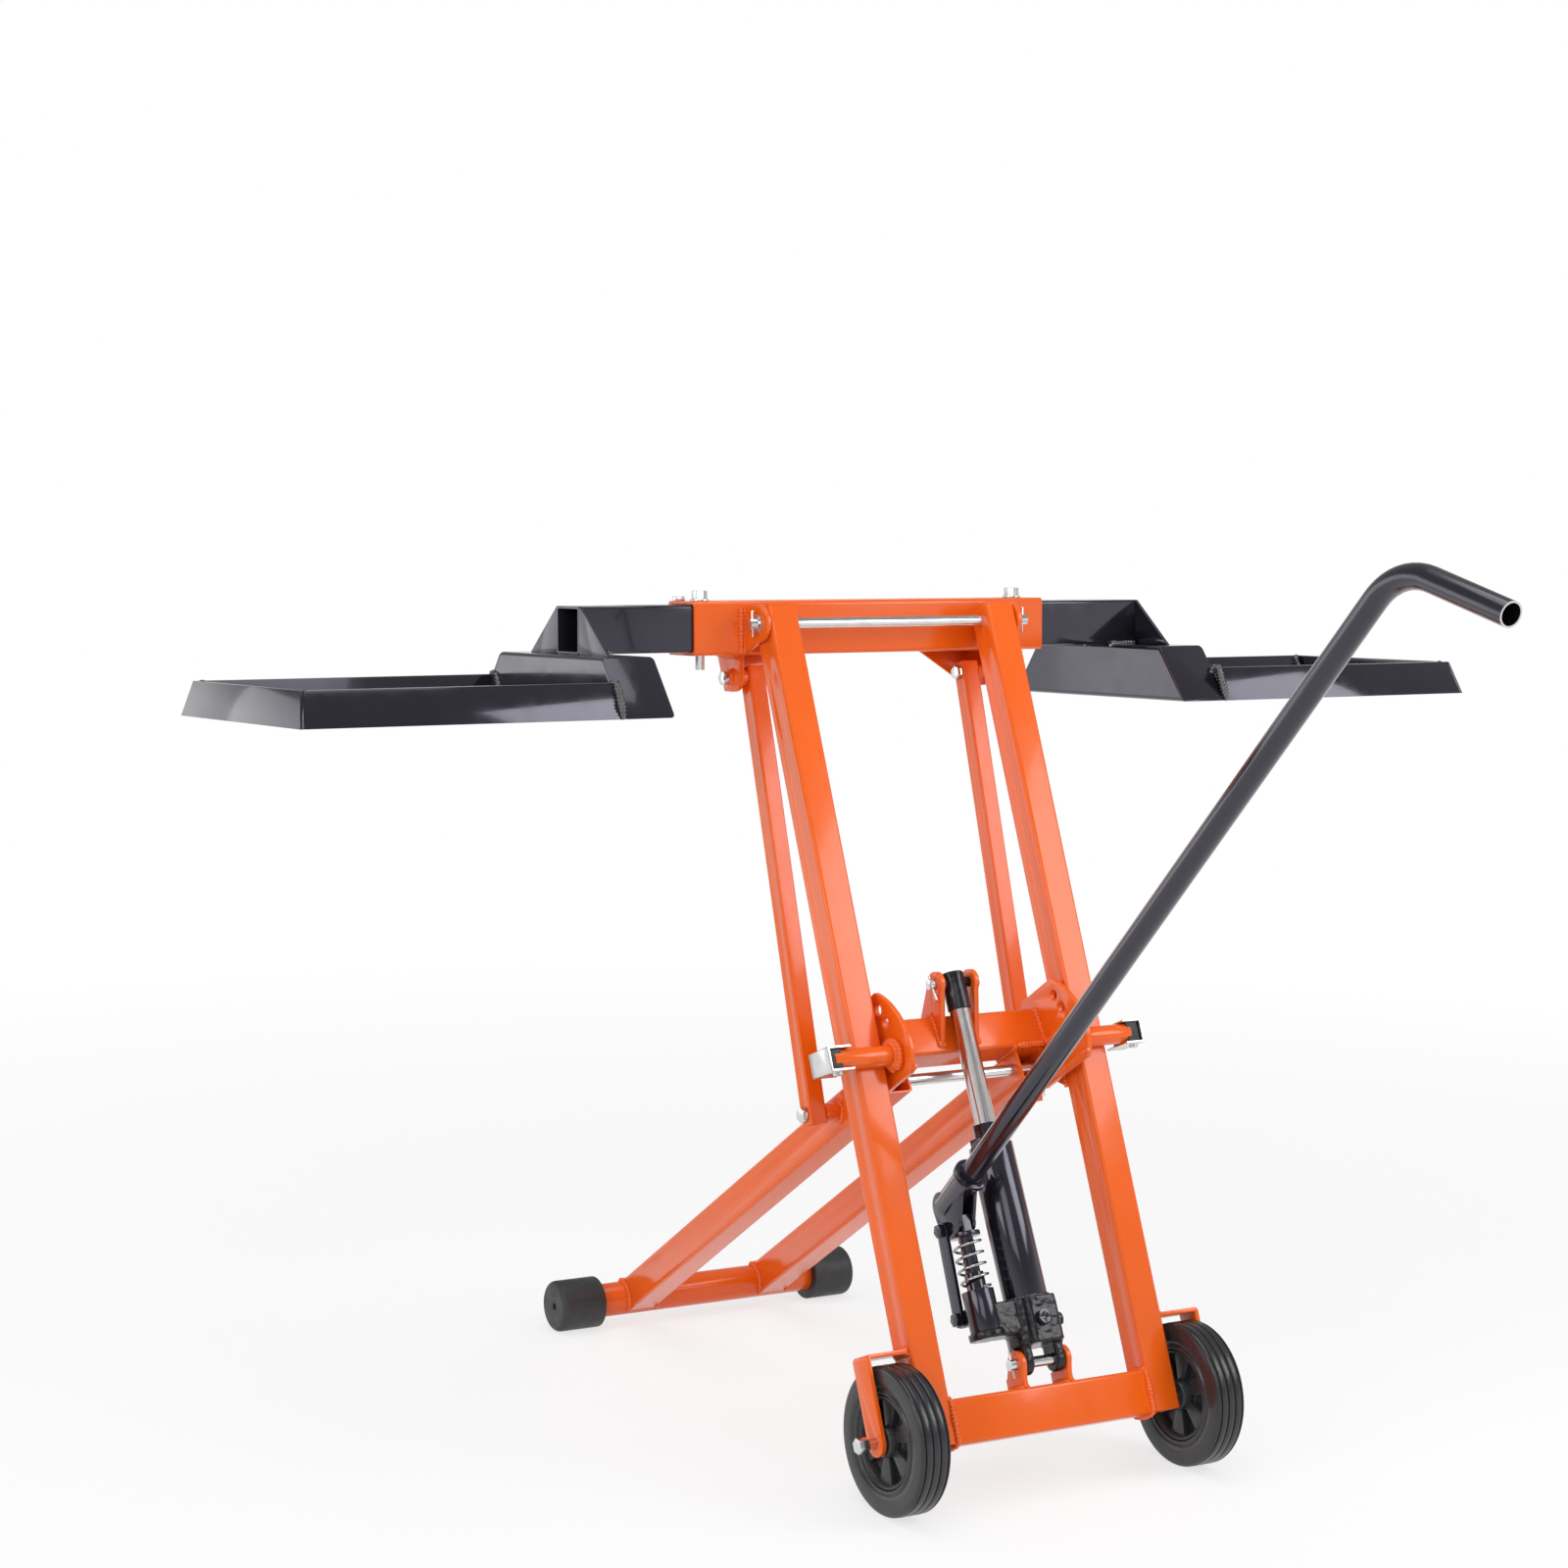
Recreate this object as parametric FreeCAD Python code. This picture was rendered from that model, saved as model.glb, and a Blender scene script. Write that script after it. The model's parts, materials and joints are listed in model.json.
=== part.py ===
import FreeCAD, Part
import math
import os

from FreeCAD import Placement, Rotation, Vector

# Folding lift for ride-on mowers. Two square arms on wheels and two legs on a foot bar
# cross at a pivot rod, a carrier tube with two tyre pans hangs on top, and a long-ram
# bottle jack spreads the frame. All lengths are millimetres, all angles degrees.
# X points from the foot bar to the wheels, Y across the lift, Z up from the floor.

# Whole frame
ARM_ANGLE = 66.0
ARM_AXLE_TO_TOP = 926.0
ARM_AXLE_TO_MIDDLE = 394.0
MIDDLE_BEHIND_ARM = 43.0
LEG_LENGTH = 690.0
CARRIER_TILT = 3.5

# Square tubes of the arms, legs, links and cross tubes
ARM_SIZE = 38.0
ARM_MIDDLE_Y = 150.0
ARM_TOP_PAST_PIVOT = 15.0
ARM_FOOT_PAST_AXLE = 15.0
TUBE_WALL = 2.5
TUBE_CORNER = 4.0
LEG_SIZE = 40.5
LEG_INNER_Y = 76.0
LEG_PAST_PIVOT = 18.0
LOWER_CROSS_HEIGHT = 50.0
LOWER_CROSS_ABOVE_AXLE = 33.0
MID_CROSS_SIZE = 45.0
MID_CROSS_BEHIND_PIVOT = 21.0
LINK_SIZE = 22.0
LINK_MIDDLE_Y = 149.0
LINK_CORNER = 2.5
LINK_END_PAST_PIN = 12.0
LINK_PIVOT_DOWN_LEG = 79.5
LINK_TOP_BEHIND_PIVOT = 56.0
LINK_TOP_BELOW_PIVOT = 63.7

# Foot bar
FOOT_BAR_RADIUS = 21.0
FOOT_BAR_WALL = 3.0
FOOT_CAP_RADIUS = 32.0
FOOT_CAP_LENGTH = 67.0
FOOT_CAP_END = 7.0
FOOT_CAP_OUTER_Y = 214.6
FOOT_CAP_HOLE_RADIUS = 4.0
FOOT_CAP_LIP_HEIGHT = 1.5
FOOT_CAP_EDGE_RADIUS = 7.0

# Pivot rods, pins and bolts
ROD_RADIUS = 6.5
TOP_ROD_RADIUS = 6.0
TOP_ROD_END_Y = 187.0
MIDDLE_ROD_END_Y = 149.0
PIN_CLEARANCE = 0.06
SEAT_GAP = 0.3
PIECE_GAP = 0.5
WASHER_RADIUS = 11.0
WASHER_THICKNESS = 2.0
COTTER_RADIUS = 1.6
COTTER_LENGTH = 30.0
BOLT_RADIUS = 5.0
BOLT_HEAD_RADIUS = 9.0
BOLT_HEAD_HEIGHT = 6.5
OVERRUN = 20.0

# Pivot lugs behind the arms
LUG_THICKNESS = 8.0
LUG_END_RADIUS = 16.0
LUG_ROOT_WIDTH = 60.0

# Sector plates outside the legs, and the lock tubes across the front of the arms
PLATE_THICKNESS = 6.0
PLATE_ARC_RADIUS = 107.0
PLATE_TOP = 81.0
PLATE_BOTTOM = -25.0
PLATE_BACK = -12.0
PLATE_CORNER = 8.0
PLATE_FRONT_CORNER = 5.0
LOCK_HOLE_RADIUS = 6.5
UPPER_LOCK_HOLE = (66.5, 61.3)
LOWER_LOCK_HOLE = (73.2, 42.3)
LOCK_TUBE_RADIUS = 11.5
LOCK_TUBE_WALL = 2.5
LOCK_TUBE_ABOVE_PIVOT = 17.0
LOCK_TUBE_END_Y = 184.0
CHANNEL_WALL = 2.5
CHANNEL_BACK = -16.0
CHANNEL_FRONT = 43.0
CHANNEL_INNER_Y = 178.0
CHANNEL_OUTER_Y = 202.0
CHANNEL_CORNER = 2.0
LOCK_BLOCK_BACK = 12.0
CHANNEL_SCREW_HEAD_RADIUS = 5.0
CHANNEL_SCREW_HEAD = 4.0

# Ram ears on the middle cross tube and jack ears on the lower one
RAM_EAR_ALONG = 49.0
RAM_EAR_ABOVE = 94.0
RAM_EAR_RADIUS = 14.0
RAM_EAR_INNER_Y = 20.0
EAR_THICKNESS = 6.0
RAM_EAR_REAR = -5.0
RAM_EAR_FOOT = 4.0
JACK_PIN_ABOVE_AXLE = 59.4
JACK_PIN_FORWARD = 9.0
JACK_EAR_RADIUS = 15.0
JACK_EAR_INNER_Y = 27.0
JACK_EAR_ROOT_BACK = 15.0
JACK_PIN_RADIUS = 6.0
JACK_PIN_END_Y = 41.0

# Wheels and the fork straps beside them
WHEEL_RADIUS = 81.0
WHEEL_WIDTH = 38.0
WHEEL_MIDDLE_Y = 196.0
TYRE_RIM_RADIUS = 51.0
TYRE_ROUND = 3.5
TYRE_BEAD = 6.0
TYRE_BEAD_STEP = 2.5
TYRE_GROOVES = 4
TYRE_OUTER_RIB = 5.0
TYRE_GROOVE_WIDTH = 2.4
TYRE_GROOVE_DEPTH = 2.0
HUB_RADIUS = 17.0
HUB_RIM_WALL = 5.0
HUB_WIDTH = 38.0
HUB_RIM_INSET = 3.0
HUB_SPOKES = 6
HUB_SPOKE_ROOT = 9.0
HUB_SPOKE_TIP = 25.0
HUB_SPOKE_INSET = 4.0
HUB_DISC = 6.0
AXLE_RADIUS = 6.0
AXLE_STAND_OFF = 11.0
AXLE_HEAD_LENGTH = 12.0
STRAP_WIDTH = 30.0
STRAP_THICKNESS = 5.0
STRAP_OUTER_Y = 223.0
STRAP_ABOVE_AXLE = 93.0

# Carrier tube, its ears, link lugs and lock bolts
CARRIER_SIZE = 62.0
CARRIER_WALL = 3.5
CARRIER_CORNER = 5.0
CARRIER_FRONT_BEHIND_PIVOT = 30.0
CARRIER_BELOW_PIVOT = 5.6
CARRIER_EAR_RADIUS = 21.5
CARRIER_EAR_INNER_Y = 170.0
CARRIER_EAR_TOP = 19.0
CARRIER_EAR_BOTTOM = -35.0
LINK_LUG_RADIUS = 16.0
LINK_LUG_BOSS_RADIUS = 10.0
GUSSET_THICKNESS = 4.0
GUSSET_REACH = 70.0
GUSSET_TIP = 12.0
LOCK_BOLT_OUTSIDE_EAR = 41.0
CARRIER_PAST_LOCK_BOLT = 23.7
LOCK_BOLT_RADIUS = 5.5
LOCK_BOLT_BELOW = 17.0
END_SCREW_FROM_END = 8.7
END_SCREW_BACK = 22.0
END_SCREW_RADIUS = 4.0
END_SCREW_HEAD_RADIUS = 7.5
END_SCREW_HEAD = 5.0

# Tyre pans, placed from the carrier tube's centre
PAN_CLEARANCE = 0.5
PAN_TUBE_WALL = 3.0
PAN_TUBE_INNER_END_Y = 120.0
PAN_TUBE_OUTER_END_Y = 387.0
PAN_SLIDE_IN = 90.0
PAN_SLIDE_OUT = 60.0
PAN_SLOT_MARGIN = 2.0
BOX_INNER_Y = 346.0
BOX_WIDTH = 64.0
BOX_HEIGHT = 65.0
BOX_TOP_HALF = 125.0
BOX_BOTTOM_HALF = 175.0
BOX_CORNER = 5.0
BOX_WALL = 3.0
BOX_END_PLATE = 4.0
RAIL_HEIGHT = 39.0
RAIL_LEAN = 17.0
RAIL_FRONT = 175.0
RAIL_BACK = 160.0
RAIL_TOP_WIDTH = 8.0
RAIL_INNER_LEAN = 22.0
RAIL_THICKNESS = 4.0
END_WALL_Y = 784.5
END_WALL_LEAN = 8.0
PAN_GUSSET_LENGTH = 66.0
PAN_GUSSET_THICKNESS = 4.0

# Bottle jack, from its lower pin up
CLEVIS_LEG_THICKNESS = 11.0
CLEVIS_GAP = 0.7
CLEVIS_LEG_RADIUS = 14.0
BASE_BOTTOM = 17.0
BASE_TOP = 68.6
BASE_RADIUS = 31.0
BASE_CORNER = 6.0
RESERVOIR_RADIUS = 25.0
RESERVOIR_TOP = 245.0
TOP_NUT_ACROSS = 44.0
TOP_NUT_HEIGHT = 10.0
GLAND_RADIUS = 16.0
RAM_RADIUS = 12.0
RAM_HEAD_RADIUS = 13.5
RAM_HEAD_BELOW_PIN = 33.0
RAM_HEAD_ABOVE_PIN = 11.0
RAM_STROKE = 133.0
RAM_STROKE_SPARE = 1.0
RAM_TAIL = 62.0
RAM_PIN_RADIUS = 6.0
RAM_PIN_END_Y = 34.0

# Hand pump beside the reservoir
PUMP_Y = -60.0
PUMP_CYLINDER_BOTTOM = 31.0
PUMP_CYLINDER_TOP = 86.0
PUMP_CYLINDER_RADIUS = 18.0
PUMP_LIP_RADIUS = 21.0
PUMP_LIP_HEIGHT = 9.0
PUMP_NECK_RADIUS = 11.0
PUMP_NECK_HEIGHT = 20.0
PLUNGER_RADIUS = 8.0
PLUNGER_TAIL = 30.0
SPRING_RADIUS = 14.5
SPRING_WIRE_RADIUS = 1.5
SPRING_WIRE_SIDES = 8
SPRING_TURNS = 4.5
SPRING_LENGTH = 60.0
SPRING_CAP_RADIUS = 17.0
SPRING_CAP_HEIGHT = 5.0
PUMP_PIN_ABOVE_CAP = 12.0
PUMP_PIN_RADIUS = 4.0
PLUNGER_HEAD_HALF = 9.0
PLUNGER_HEAD_WIDTH = 14.0
PLUNGER_HEAD_TOP = 7.0
PLUNGER_SLOT_PLAY = 2.5
FULCRUM_BACK = 22.0
FULCRUM_BELOW_PIN = 3.0
FULCRUM_FOOT_BACK = 28.0
FULCRUM_FOOT_BELOW_TOP = 7.6
FULCRUM_PIN_RADIUS = 5.0
FULCRUM_HEAD_RADIUS = 8.0
FULCRUM_HEAD_HEIGHT = 5.0
LINK_STRAP_RADIUS = 9.0
LINK_STRAP_THICKNESS = 4.0
CHEEK_THICKNESS = 4.0
CHEEK_RADIUS = 9.0
CHEEK_FRONT_RADIUS = 11.0
SOCKET_MOUTH_FORWARD = 39.0
SOCKET_MOUTH_ABOVE_PIN = 45.7
SOCKET_RADIUS = 16.5
SOCKET_LENGTH = 62.0
SOCKET_FLOOR = 4.0
SOCKET_RING_RADIUS = 19.5
SOCKET_RING_LENGTH = 6.0
VALVE_HEIGHT = 43.0
VALVE_Y = -4.0
VALVE_RADIUS = 8.5
VALVE_LENGTH = 5.0
VALVE_STEM_RADIUS = 4.0
VALVE_STEM_LENGTH = 9.0
VALVE_SLOT_WIDTH = 2.5
VALVE_SLOT_DEPTH = 2.5
SIDE_PLUG_RADIUS = 8.0
SIDE_PLUG_LENGTH = 9.0
FILLER_HEIGHT = 205.0
FILLER_RADIUS = 6.0
FILLER_LENGTH = 4.0

# Pump handle
HANDLE_RADIUS = 12.7
HANDLE_WALL = 2.0
HANDLE_CLEARANCE = 0.3
HANDLE_ANGLE = 47.6
HANDLE_TO_CORNER = 966.0
HANDLE_END_LENGTH = 153.0
HANDLE_BEND_RADIUS = 80.0
HANDLE_TURN = 60.1

# Places worked out from the sizes above
SIDES = (-1, 1)
ALONG_X = Vector(1, 0, 0)
ALONG_Y = Vector(0, 1, 0)
ALONG_Z = Vector(0, 0, 1)
ARM_INNER_Y = ARM_MIDDLE_Y - ARM_SIZE / 2
ARM_OUTER_Y = ARM_MIDDLE_Y + ARM_SIZE / 2
ARM_HALF = ARM_SIZE / 2
LEG_OUTER_Y = LEG_INNER_Y + LEG_SIZE
LEG_HALF = LEG_SIZE / 2
LINK_HALF = LINK_SIZE / 2
PLATE_OUTER_Y = LEG_OUTER_Y + PLATE_THICKNESS
CARRIER_HALF = CARRIER_SIZE / 2
CARRIER_MIDDLE = -CARRIER_FRONT_BEHIND_PIVOT - CARRIER_HALF
CARRIER_BOTTOM = -CARRIER_BELOW_PIVOT - CARRIER_HALF
CARRIER_EAR_OUTER_Y = CARRIER_EAR_INNER_Y + PLATE_THICKNESS
LOCK_BOLT_Y = CARRIER_EAR_OUTER_Y + LOCK_BOLT_OUTSIDE_EAR
CARRIER_HALF_LENGTH = LOCK_BOLT_Y + CARRIER_PAST_LOCK_BOLT
END_SCREW_Y = CARRIER_HALF_LENGTH - END_SCREW_FROM_END
PAN_TUBE_SIZE = CARRIER_SIZE - 2 * CARRIER_WALL - 2 * PAN_CLEARANCE
PAN_TUBE_HALF = PAN_TUBE_SIZE / 2
BOX_TOP = -PAN_TUBE_HALF
BOX_BOTTOM = BOX_TOP - BOX_HEIGHT
BOX_OUTER_Y = BOX_INNER_Y + BOX_WIDTH
LOCK_TUBE_FORWARD = ARM_HALF + LOCK_TUBE_RADIUS + SEAT_GAP


def local_frame(x, z, degrees):
    """A place in the XZ plane whose own X axis points up by the given angle."""
    return Placement(Vector(x, 0, z), Rotation(ALONG_Y, -degrees))


AXLE = Vector(0, 0, WHEEL_RADIUS)
ARM_DOWN = Vector(math.cos(math.radians(ARM_ANGLE)), 0, -math.sin(math.radians(ARM_ANGLE)))
ARM_FORWARD = Vector(math.sin(math.radians(ARM_ANGLE)), 0, math.cos(math.radians(ARM_ANGLE)))
TOP_PIVOT = AXLE - ARM_DOWN * ARM_AXLE_TO_TOP
MIDDLE_PIVOT = AXLE - ARM_DOWN * ARM_AXLE_TO_MIDDLE - ARM_FORWARD * MIDDLE_BEHIND_ARM
LEG_ANGLE = math.degrees(math.asin((MIDDLE_PIVOT.z - FOOT_CAP_RADIUS) / LEG_LENGTH))
ARM = local_frame(TOP_PIVOT.x, TOP_PIVOT.z, -ARM_ANGLE)
LEG = local_frame(MIDDLE_PIVOT.x, MIDDLE_PIVOT.z, LEG_ANGLE)
CARRIER = local_frame(TOP_PIVOT.x, TOP_PIVOT.z, CARRIER_TILT)

# Lengths down the arm from the top pivot
AXLE_DOWN = ARM_AXLE_TO_TOP
MIDDLE_DOWN = ARM_AXLE_TO_TOP - ARM_AXLE_TO_MIDDLE
JACK_DOWN = ARM_AXLE_TO_TOP - JACK_PIN_ABOVE_AXLE
CROSS_TOP_DOWN = AXLE_DOWN - LOWER_CROSS_ABOVE_AXLE
CROSS_BOTTOM_DOWN = CROSS_TOP_DOWN + LOWER_CROSS_HEIGHT
LOCK_TUBE_DOWN = MIDDLE_DOWN - LOCK_TUBE_ABOVE_PIVOT

JACK_PIVOT = ARM.multVec(Vector(JACK_DOWN, 0, JACK_PIN_FORWARD))
RAM_PIVOT = LEG.multVec(Vector(RAM_EAR_ALONG, 0, RAM_EAR_ABOVE))
JACK_LENGTH = (RAM_PIVOT - JACK_PIVOT).Length
JACK_LEAN = math.degrees(math.atan2(RAM_PIVOT.z - JACK_PIVOT.z, RAM_PIVOT.x - JACK_PIVOT.x))
JACK = local_frame(JACK_PIVOT.x, JACK_PIVOT.z, JACK_LEAN - 90.0)
LINK_LOWER = LEG.multVec(Vector(-LINK_PIVOT_DOWN_LEG, 0, 0))
LINK_UPPER = CARRIER.multVec(Vector(-LINK_TOP_BEHIND_PIVOT, 0, -LINK_TOP_BELOW_PIVOT))
LINK_LENGTH = (LINK_UPPER - LINK_LOWER).Length
LINK_LEAN = math.degrees(math.atan2(LINK_UPPER.z - LINK_LOWER.z, LINK_UPPER.x - LINK_LOWER.x))
LINK = local_frame(LINK_LOWER.x, LINK_LOWER.z, LINK_LEAN)
GLAND_TOP = JACK_LENGTH - RAM_HEAD_BELOW_PIN - RAM_STROKE - RAM_STROKE_SPARE
SPRING_TOP = PUMP_CYLINDER_TOP + SPRING_LENGTH
PUMP_PIN_HEIGHT = SPRING_TOP + SPRING_CAP_HEIGHT + PUMP_PIN_ABOVE_CAP
FULCRUM_HEIGHT = PUMP_PIN_HEIGHT - FULCRUM_BELOW_PIN
FULCRUM_FOOT_HEIGHT = BASE_TOP - FULCRUM_FOOT_BELOW_TOP
SOCKET_MOUTH_HEIGHT = PUMP_PIN_HEIGHT + SOCKET_MOUTH_ABOVE_PIN
MOUTH = JACK.multVec(Vector(SOCKET_MOUTH_FORWARD, 0, SOCKET_MOUTH_HEIGHT))
HANDLE = local_frame(MOUTH.x, MOUTH.z, HANDLE_ANGLE)


def placed(shape, frame):
    """The shape carried from its member's own axes into the lift's axes."""
    return shape.transformed(frame.toMatrix(), True)


def mirrored(shape):
    return shape.mirror(Vector(0, 0, 0), ALONG_Y)


def both_sides(make):
    """The same piece on the left and on the right, as two separate solids."""
    right = make()
    return Part.makeCompound([mirrored(right), right])


def block(x0, x1, y0, y1, z0, z1):
    return Part.makeBox(x1 - x0, y1 - y0, z1 - z0, Vector(x0, y0, z0))


def edges_along(shape, axis):
    found = []
    for edge in shape.Edges:
        if edge.Curve.TypeId == "Part::GeomLine" and abs(edge.Curve.Direction.dot(axis)) > 0.99:
            found.append(edge)
    return found


def rounded_block(x0, x1, y0, y1, z0, z1, axis, radius):
    shape = block(x0, x1, y0, y1, z0, z1)
    return shape.makeFillet(radius, edges_along(shape, axis))


def tube_along_x(x0, x1, y_middle, z_middle, width, height, wall, corner):
    """A rectangular tube with rounded corners, open at both ends."""
    half_y = width / 2
    half_z = height / 2
    outer = rounded_block(
        x0, x1, y_middle - half_y, y_middle + half_y, z_middle - half_z, z_middle + half_z,
        ALONG_X, corner)
    inner = rounded_block(
        x0 - OVERRUN, x1 + OVERRUN, y_middle - half_y + wall, y_middle + half_y - wall,
        z_middle - half_z + wall, z_middle + half_z - wall, ALONG_X, corner - wall / 2)
    return outer.cut(inner)


def tube_along_y(y0, y1, x_middle, z_middle, depth, height, wall, corner):
    half_x = depth / 2
    half_z = height / 2
    outer = rounded_block(
        x_middle - half_x, x_middle + half_x, y0, y1, z_middle - half_z, z_middle + half_z,
        ALONG_Y, corner)
    inner = rounded_block(
        x_middle - half_x + wall, x_middle + half_x - wall, y0 - OVERRUN, y1 + OVERRUN,
        z_middle - half_z + wall, z_middle + half_z - wall, ALONG_Y, corner - wall / 2)
    return outer.cut(inner)


def round_along_y(x, z, radius, y0, y1):
    return Part.makeCylinder(radius, y1 - y0, Vector(x, y0, z), ALONG_Y)


def round_along_z(x, y, radius, z0, z1):
    return Part.makeCylinder(radius, z1 - z0, Vector(x, y, z0), ALONG_Z)


def plate_along_y(points, y0, y1):
    """A flat plate with the given outline in the XZ plane."""
    corners = [Vector(x, y0, z) for x, z in points]
    face = Part.Face(Part.makePolygon(corners + corners[:1]))
    return face.extrude(Vector(0, y1 - y0, 0))


def plate_along_x(points, x0, x1):
    """A flat plate with the given outline in the YZ plane."""
    corners = [Vector(x0, y, z) for y, z in points]
    face = Part.Face(Part.makePolygon(corners + corners[:1]))
    return face.extrude(Vector(x1 - x0, 0, 0))


def rounded_strap(x0, z0, radius0, x1, z1, radius1, y0, y1):
    """A flat strap with a round end at each of two pin centres."""
    reach = math.hypot(x1 - x0, z1 - z0)
    lean = math.atan2(z1 - z0, x1 - x0)
    tilt = math.acos((radius0 - radius1) / reach)
    points = []
    for x, z, radius, turn in (
            (x0, z0, radius0, tilt), (x1, z1, radius1, tilt),
            (x1, z1, radius1, -tilt), (x0, z0, radius0, -tilt)):
        points.append((x + radius * math.cos(lean + turn), z + radius * math.sin(lean + turn)))
    body = plate_along_y(points, y0, y1)
    body = body.fuse(round_along_y(x0, z0, radius0, y0, y1))
    return body.fuse(round_along_y(x1, z1, radius1, y0, y1)).removeSplitter()


def revolved_along_y(profile, x, z):
    """A round piece from its half outline of (radius, y) points, about an axis along Y."""
    corners = [Vector(radius, y, 0) for radius, y in profile]
    face = Part.Face(Part.makePolygon(corners + corners[:1]))
    piece = face.revolve(Vector(0, 0, 0), ALONG_Y, 360)
    piece.translate(Vector(x, 0, z))
    return piece


def hexagon_along_y(x, z, across_corners, y0, y1):
    points = []
    for turn in range(6):
        angle = math.radians(60.0 * turn)
        points.append((x + across_corners * math.cos(angle), z + across_corners * math.sin(angle)))
    return plate_along_y(points, y0, y1)


def hexagon_along_z(x, y, across_corners, z0, z1):
    corners = []
    for turn in range(6):
        angle = math.radians(60.0 * turn)
        corners.append(Vector(
            x + across_corners * math.cos(angle), y + across_corners * math.sin(angle), z0))
    face = Part.Face(Part.makePolygon(corners + corners[:1]))
    return face.extrude(Vector(0, 0, z1 - z0))


def bolt_along_y(x, z, shank_start, head_start, radius, head_radius, head_height):
    """A hexagon-headed bolt whose head faces outwards along Y."""
    shank = round_along_y(x, z, radius, shank_start, head_start)
    head = hexagon_along_y(x, z, head_radius, head_start, head_start + head_height)
    return shank.fuse(head)


# Arm frame

def make_arm():
    arm = tube_along_x(
        -ARM_TOP_PAST_PIVOT, AXLE_DOWN + ARM_FOOT_PAST_AXLE, ARM_MIDDLE_Y, 0,
        ARM_SIZE, ARM_SIZE, TUBE_WALL, TUBE_CORNER)
    y0 = ARM_INNER_Y - OVERRUN
    y1 = ARM_OUTER_Y + OVERRUN
    arm = arm.cut(round_along_y(0, 0, TOP_ROD_RADIUS + PIN_CLEARANCE, y0, y1))
    arm = arm.cut(round_along_y(AXLE_DOWN, 0, AXLE_RADIUS, y0, y1))
    return placed(arm, ARM)


def make_lower_cross_tube():
    tube = tube_along_y(
        -ARM_INNER_Y, ARM_INNER_Y, (CROSS_TOP_DOWN + CROSS_BOTTOM_DOWN) / 2, 0,
        LOWER_CROSS_HEIGHT, ARM_SIZE, TUBE_WALL, TUBE_CORNER)
    return placed(tube, ARM)


def make_jack_ear():
    y0 = JACK_EAR_INNER_Y
    y1 = JACK_EAR_INNER_Y + EAR_THICKNESS
    reach = CROSS_TOP_DOWN - JACK_DOWN
    root = block(
        CROSS_TOP_DOWN - reach / 2, CROSS_TOP_DOWN, y0, y1, -JACK_EAR_ROOT_BACK, ARM_HALF)
    ear = round_along_y(JACK_DOWN, JACK_PIN_FORWARD, JACK_EAR_RADIUS, y0, y1)
    web = plate_along_y([
        (JACK_DOWN, JACK_PIN_FORWARD + JACK_EAR_RADIUS),
        (CROSS_TOP_DOWN - reach / 3, ARM_HALF),
        (CROSS_TOP_DOWN - reach / 3, -JACK_EAR_ROOT_BACK),
        (JACK_DOWN, JACK_PIN_FORWARD - JACK_EAR_RADIUS)], y0, y1)
    ear = ear.fuse(web).fuse(root).removeSplitter()
    ear = ear.cut(round_along_y(JACK_DOWN, JACK_PIN_FORWARD, JACK_PIN_RADIUS, y0 - OVERRUN, y1 + OVERRUN))
    return placed(ear, ARM)


def make_pivot_lug():
    """The lug on the back of the arm that the middle pivot rod passes through."""
    y0 = ARM_INNER_Y
    y1 = ARM_INNER_Y + LUG_THICKNESS
    half = LUG_ROOT_WIDTH / 2
    lug = plate_along_y([
        (MIDDLE_DOWN - half, -ARM_HALF), (MIDDLE_DOWN + half, -ARM_HALF),
        (MIDDLE_DOWN + LUG_END_RADIUS, -MIDDLE_BEHIND_ARM),
        (MIDDLE_DOWN - LUG_END_RADIUS, -MIDDLE_BEHIND_ARM)], y0, y1)
    lug = lug.fuse(round_along_y(MIDDLE_DOWN, -MIDDLE_BEHIND_ARM, LUG_END_RADIUS, y0, y1))
    lug = lug.removeSplitter().cut(round_along_y(
        MIDDLE_DOWN, -MIDDLE_BEHIND_ARM, ROD_RADIUS + PIN_CLEARANCE, y0 - OVERRUN, y1 + OVERRUN))
    return placed(lug, ARM)


def make_wheel_strap():
    """A flat bar bent over the wheel from the arm to the outer end of the axle."""
    half = STRAP_WIDTH / 2
    top = AXLE_DOWN - STRAP_ABOVE_AXLE
    inner_y = STRAP_OUTER_Y - STRAP_THICKNESS
    over = block(top, top + STRAP_THICKNESS, ARM_OUTER_Y, STRAP_OUTER_Y, -half, half)
    side = block(top, AXLE_DOWN, inner_y, STRAP_OUTER_Y, -half, half)
    side = side.fuse(round_along_y(AXLE_DOWN, 0, half, inner_y, STRAP_OUTER_Y))
    strap = over.fuse(side).removeSplitter()
    outer_bend = []
    for edge in edges_along(strap, ALONG_Z):
        middle = edge.CenterOfMass
        if middle.x < top + STRAP_THICKNESS / 2 and middle.y > inner_y:
            outer_bend.append(edge)
    strap = strap.makeFillet(STRAP_THICKNESS, outer_bend)
    strap = strap.cut(round_along_y(AXLE_DOWN, 0, AXLE_RADIUS, inner_y - OVERRUN, STRAP_OUTER_Y + OVERRUN))
    return placed(strap, ARM)


def make_wheel_axle():
    """A long bolt through arm, wheel and strap, its head standing off the strap."""
    axle = bolt_along_y(
        AXLE_DOWN, 0, ARM_INNER_Y - BOLT_HEAD_HEIGHT, STRAP_OUTER_Y + AXLE_STAND_OFF, AXLE_RADIUS,
        BOLT_HEAD_RADIUS, AXLE_HEAD_LENGTH)
    nut = hexagon_along_y(AXLE_DOWN, 0, BOLT_HEAD_RADIUS, ARM_INNER_Y - BOLT_HEAD_HEIGHT, ARM_INNER_Y)
    return placed(axle.fuse(nut).removeSplitter(), ARM)


# Wheels

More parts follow.
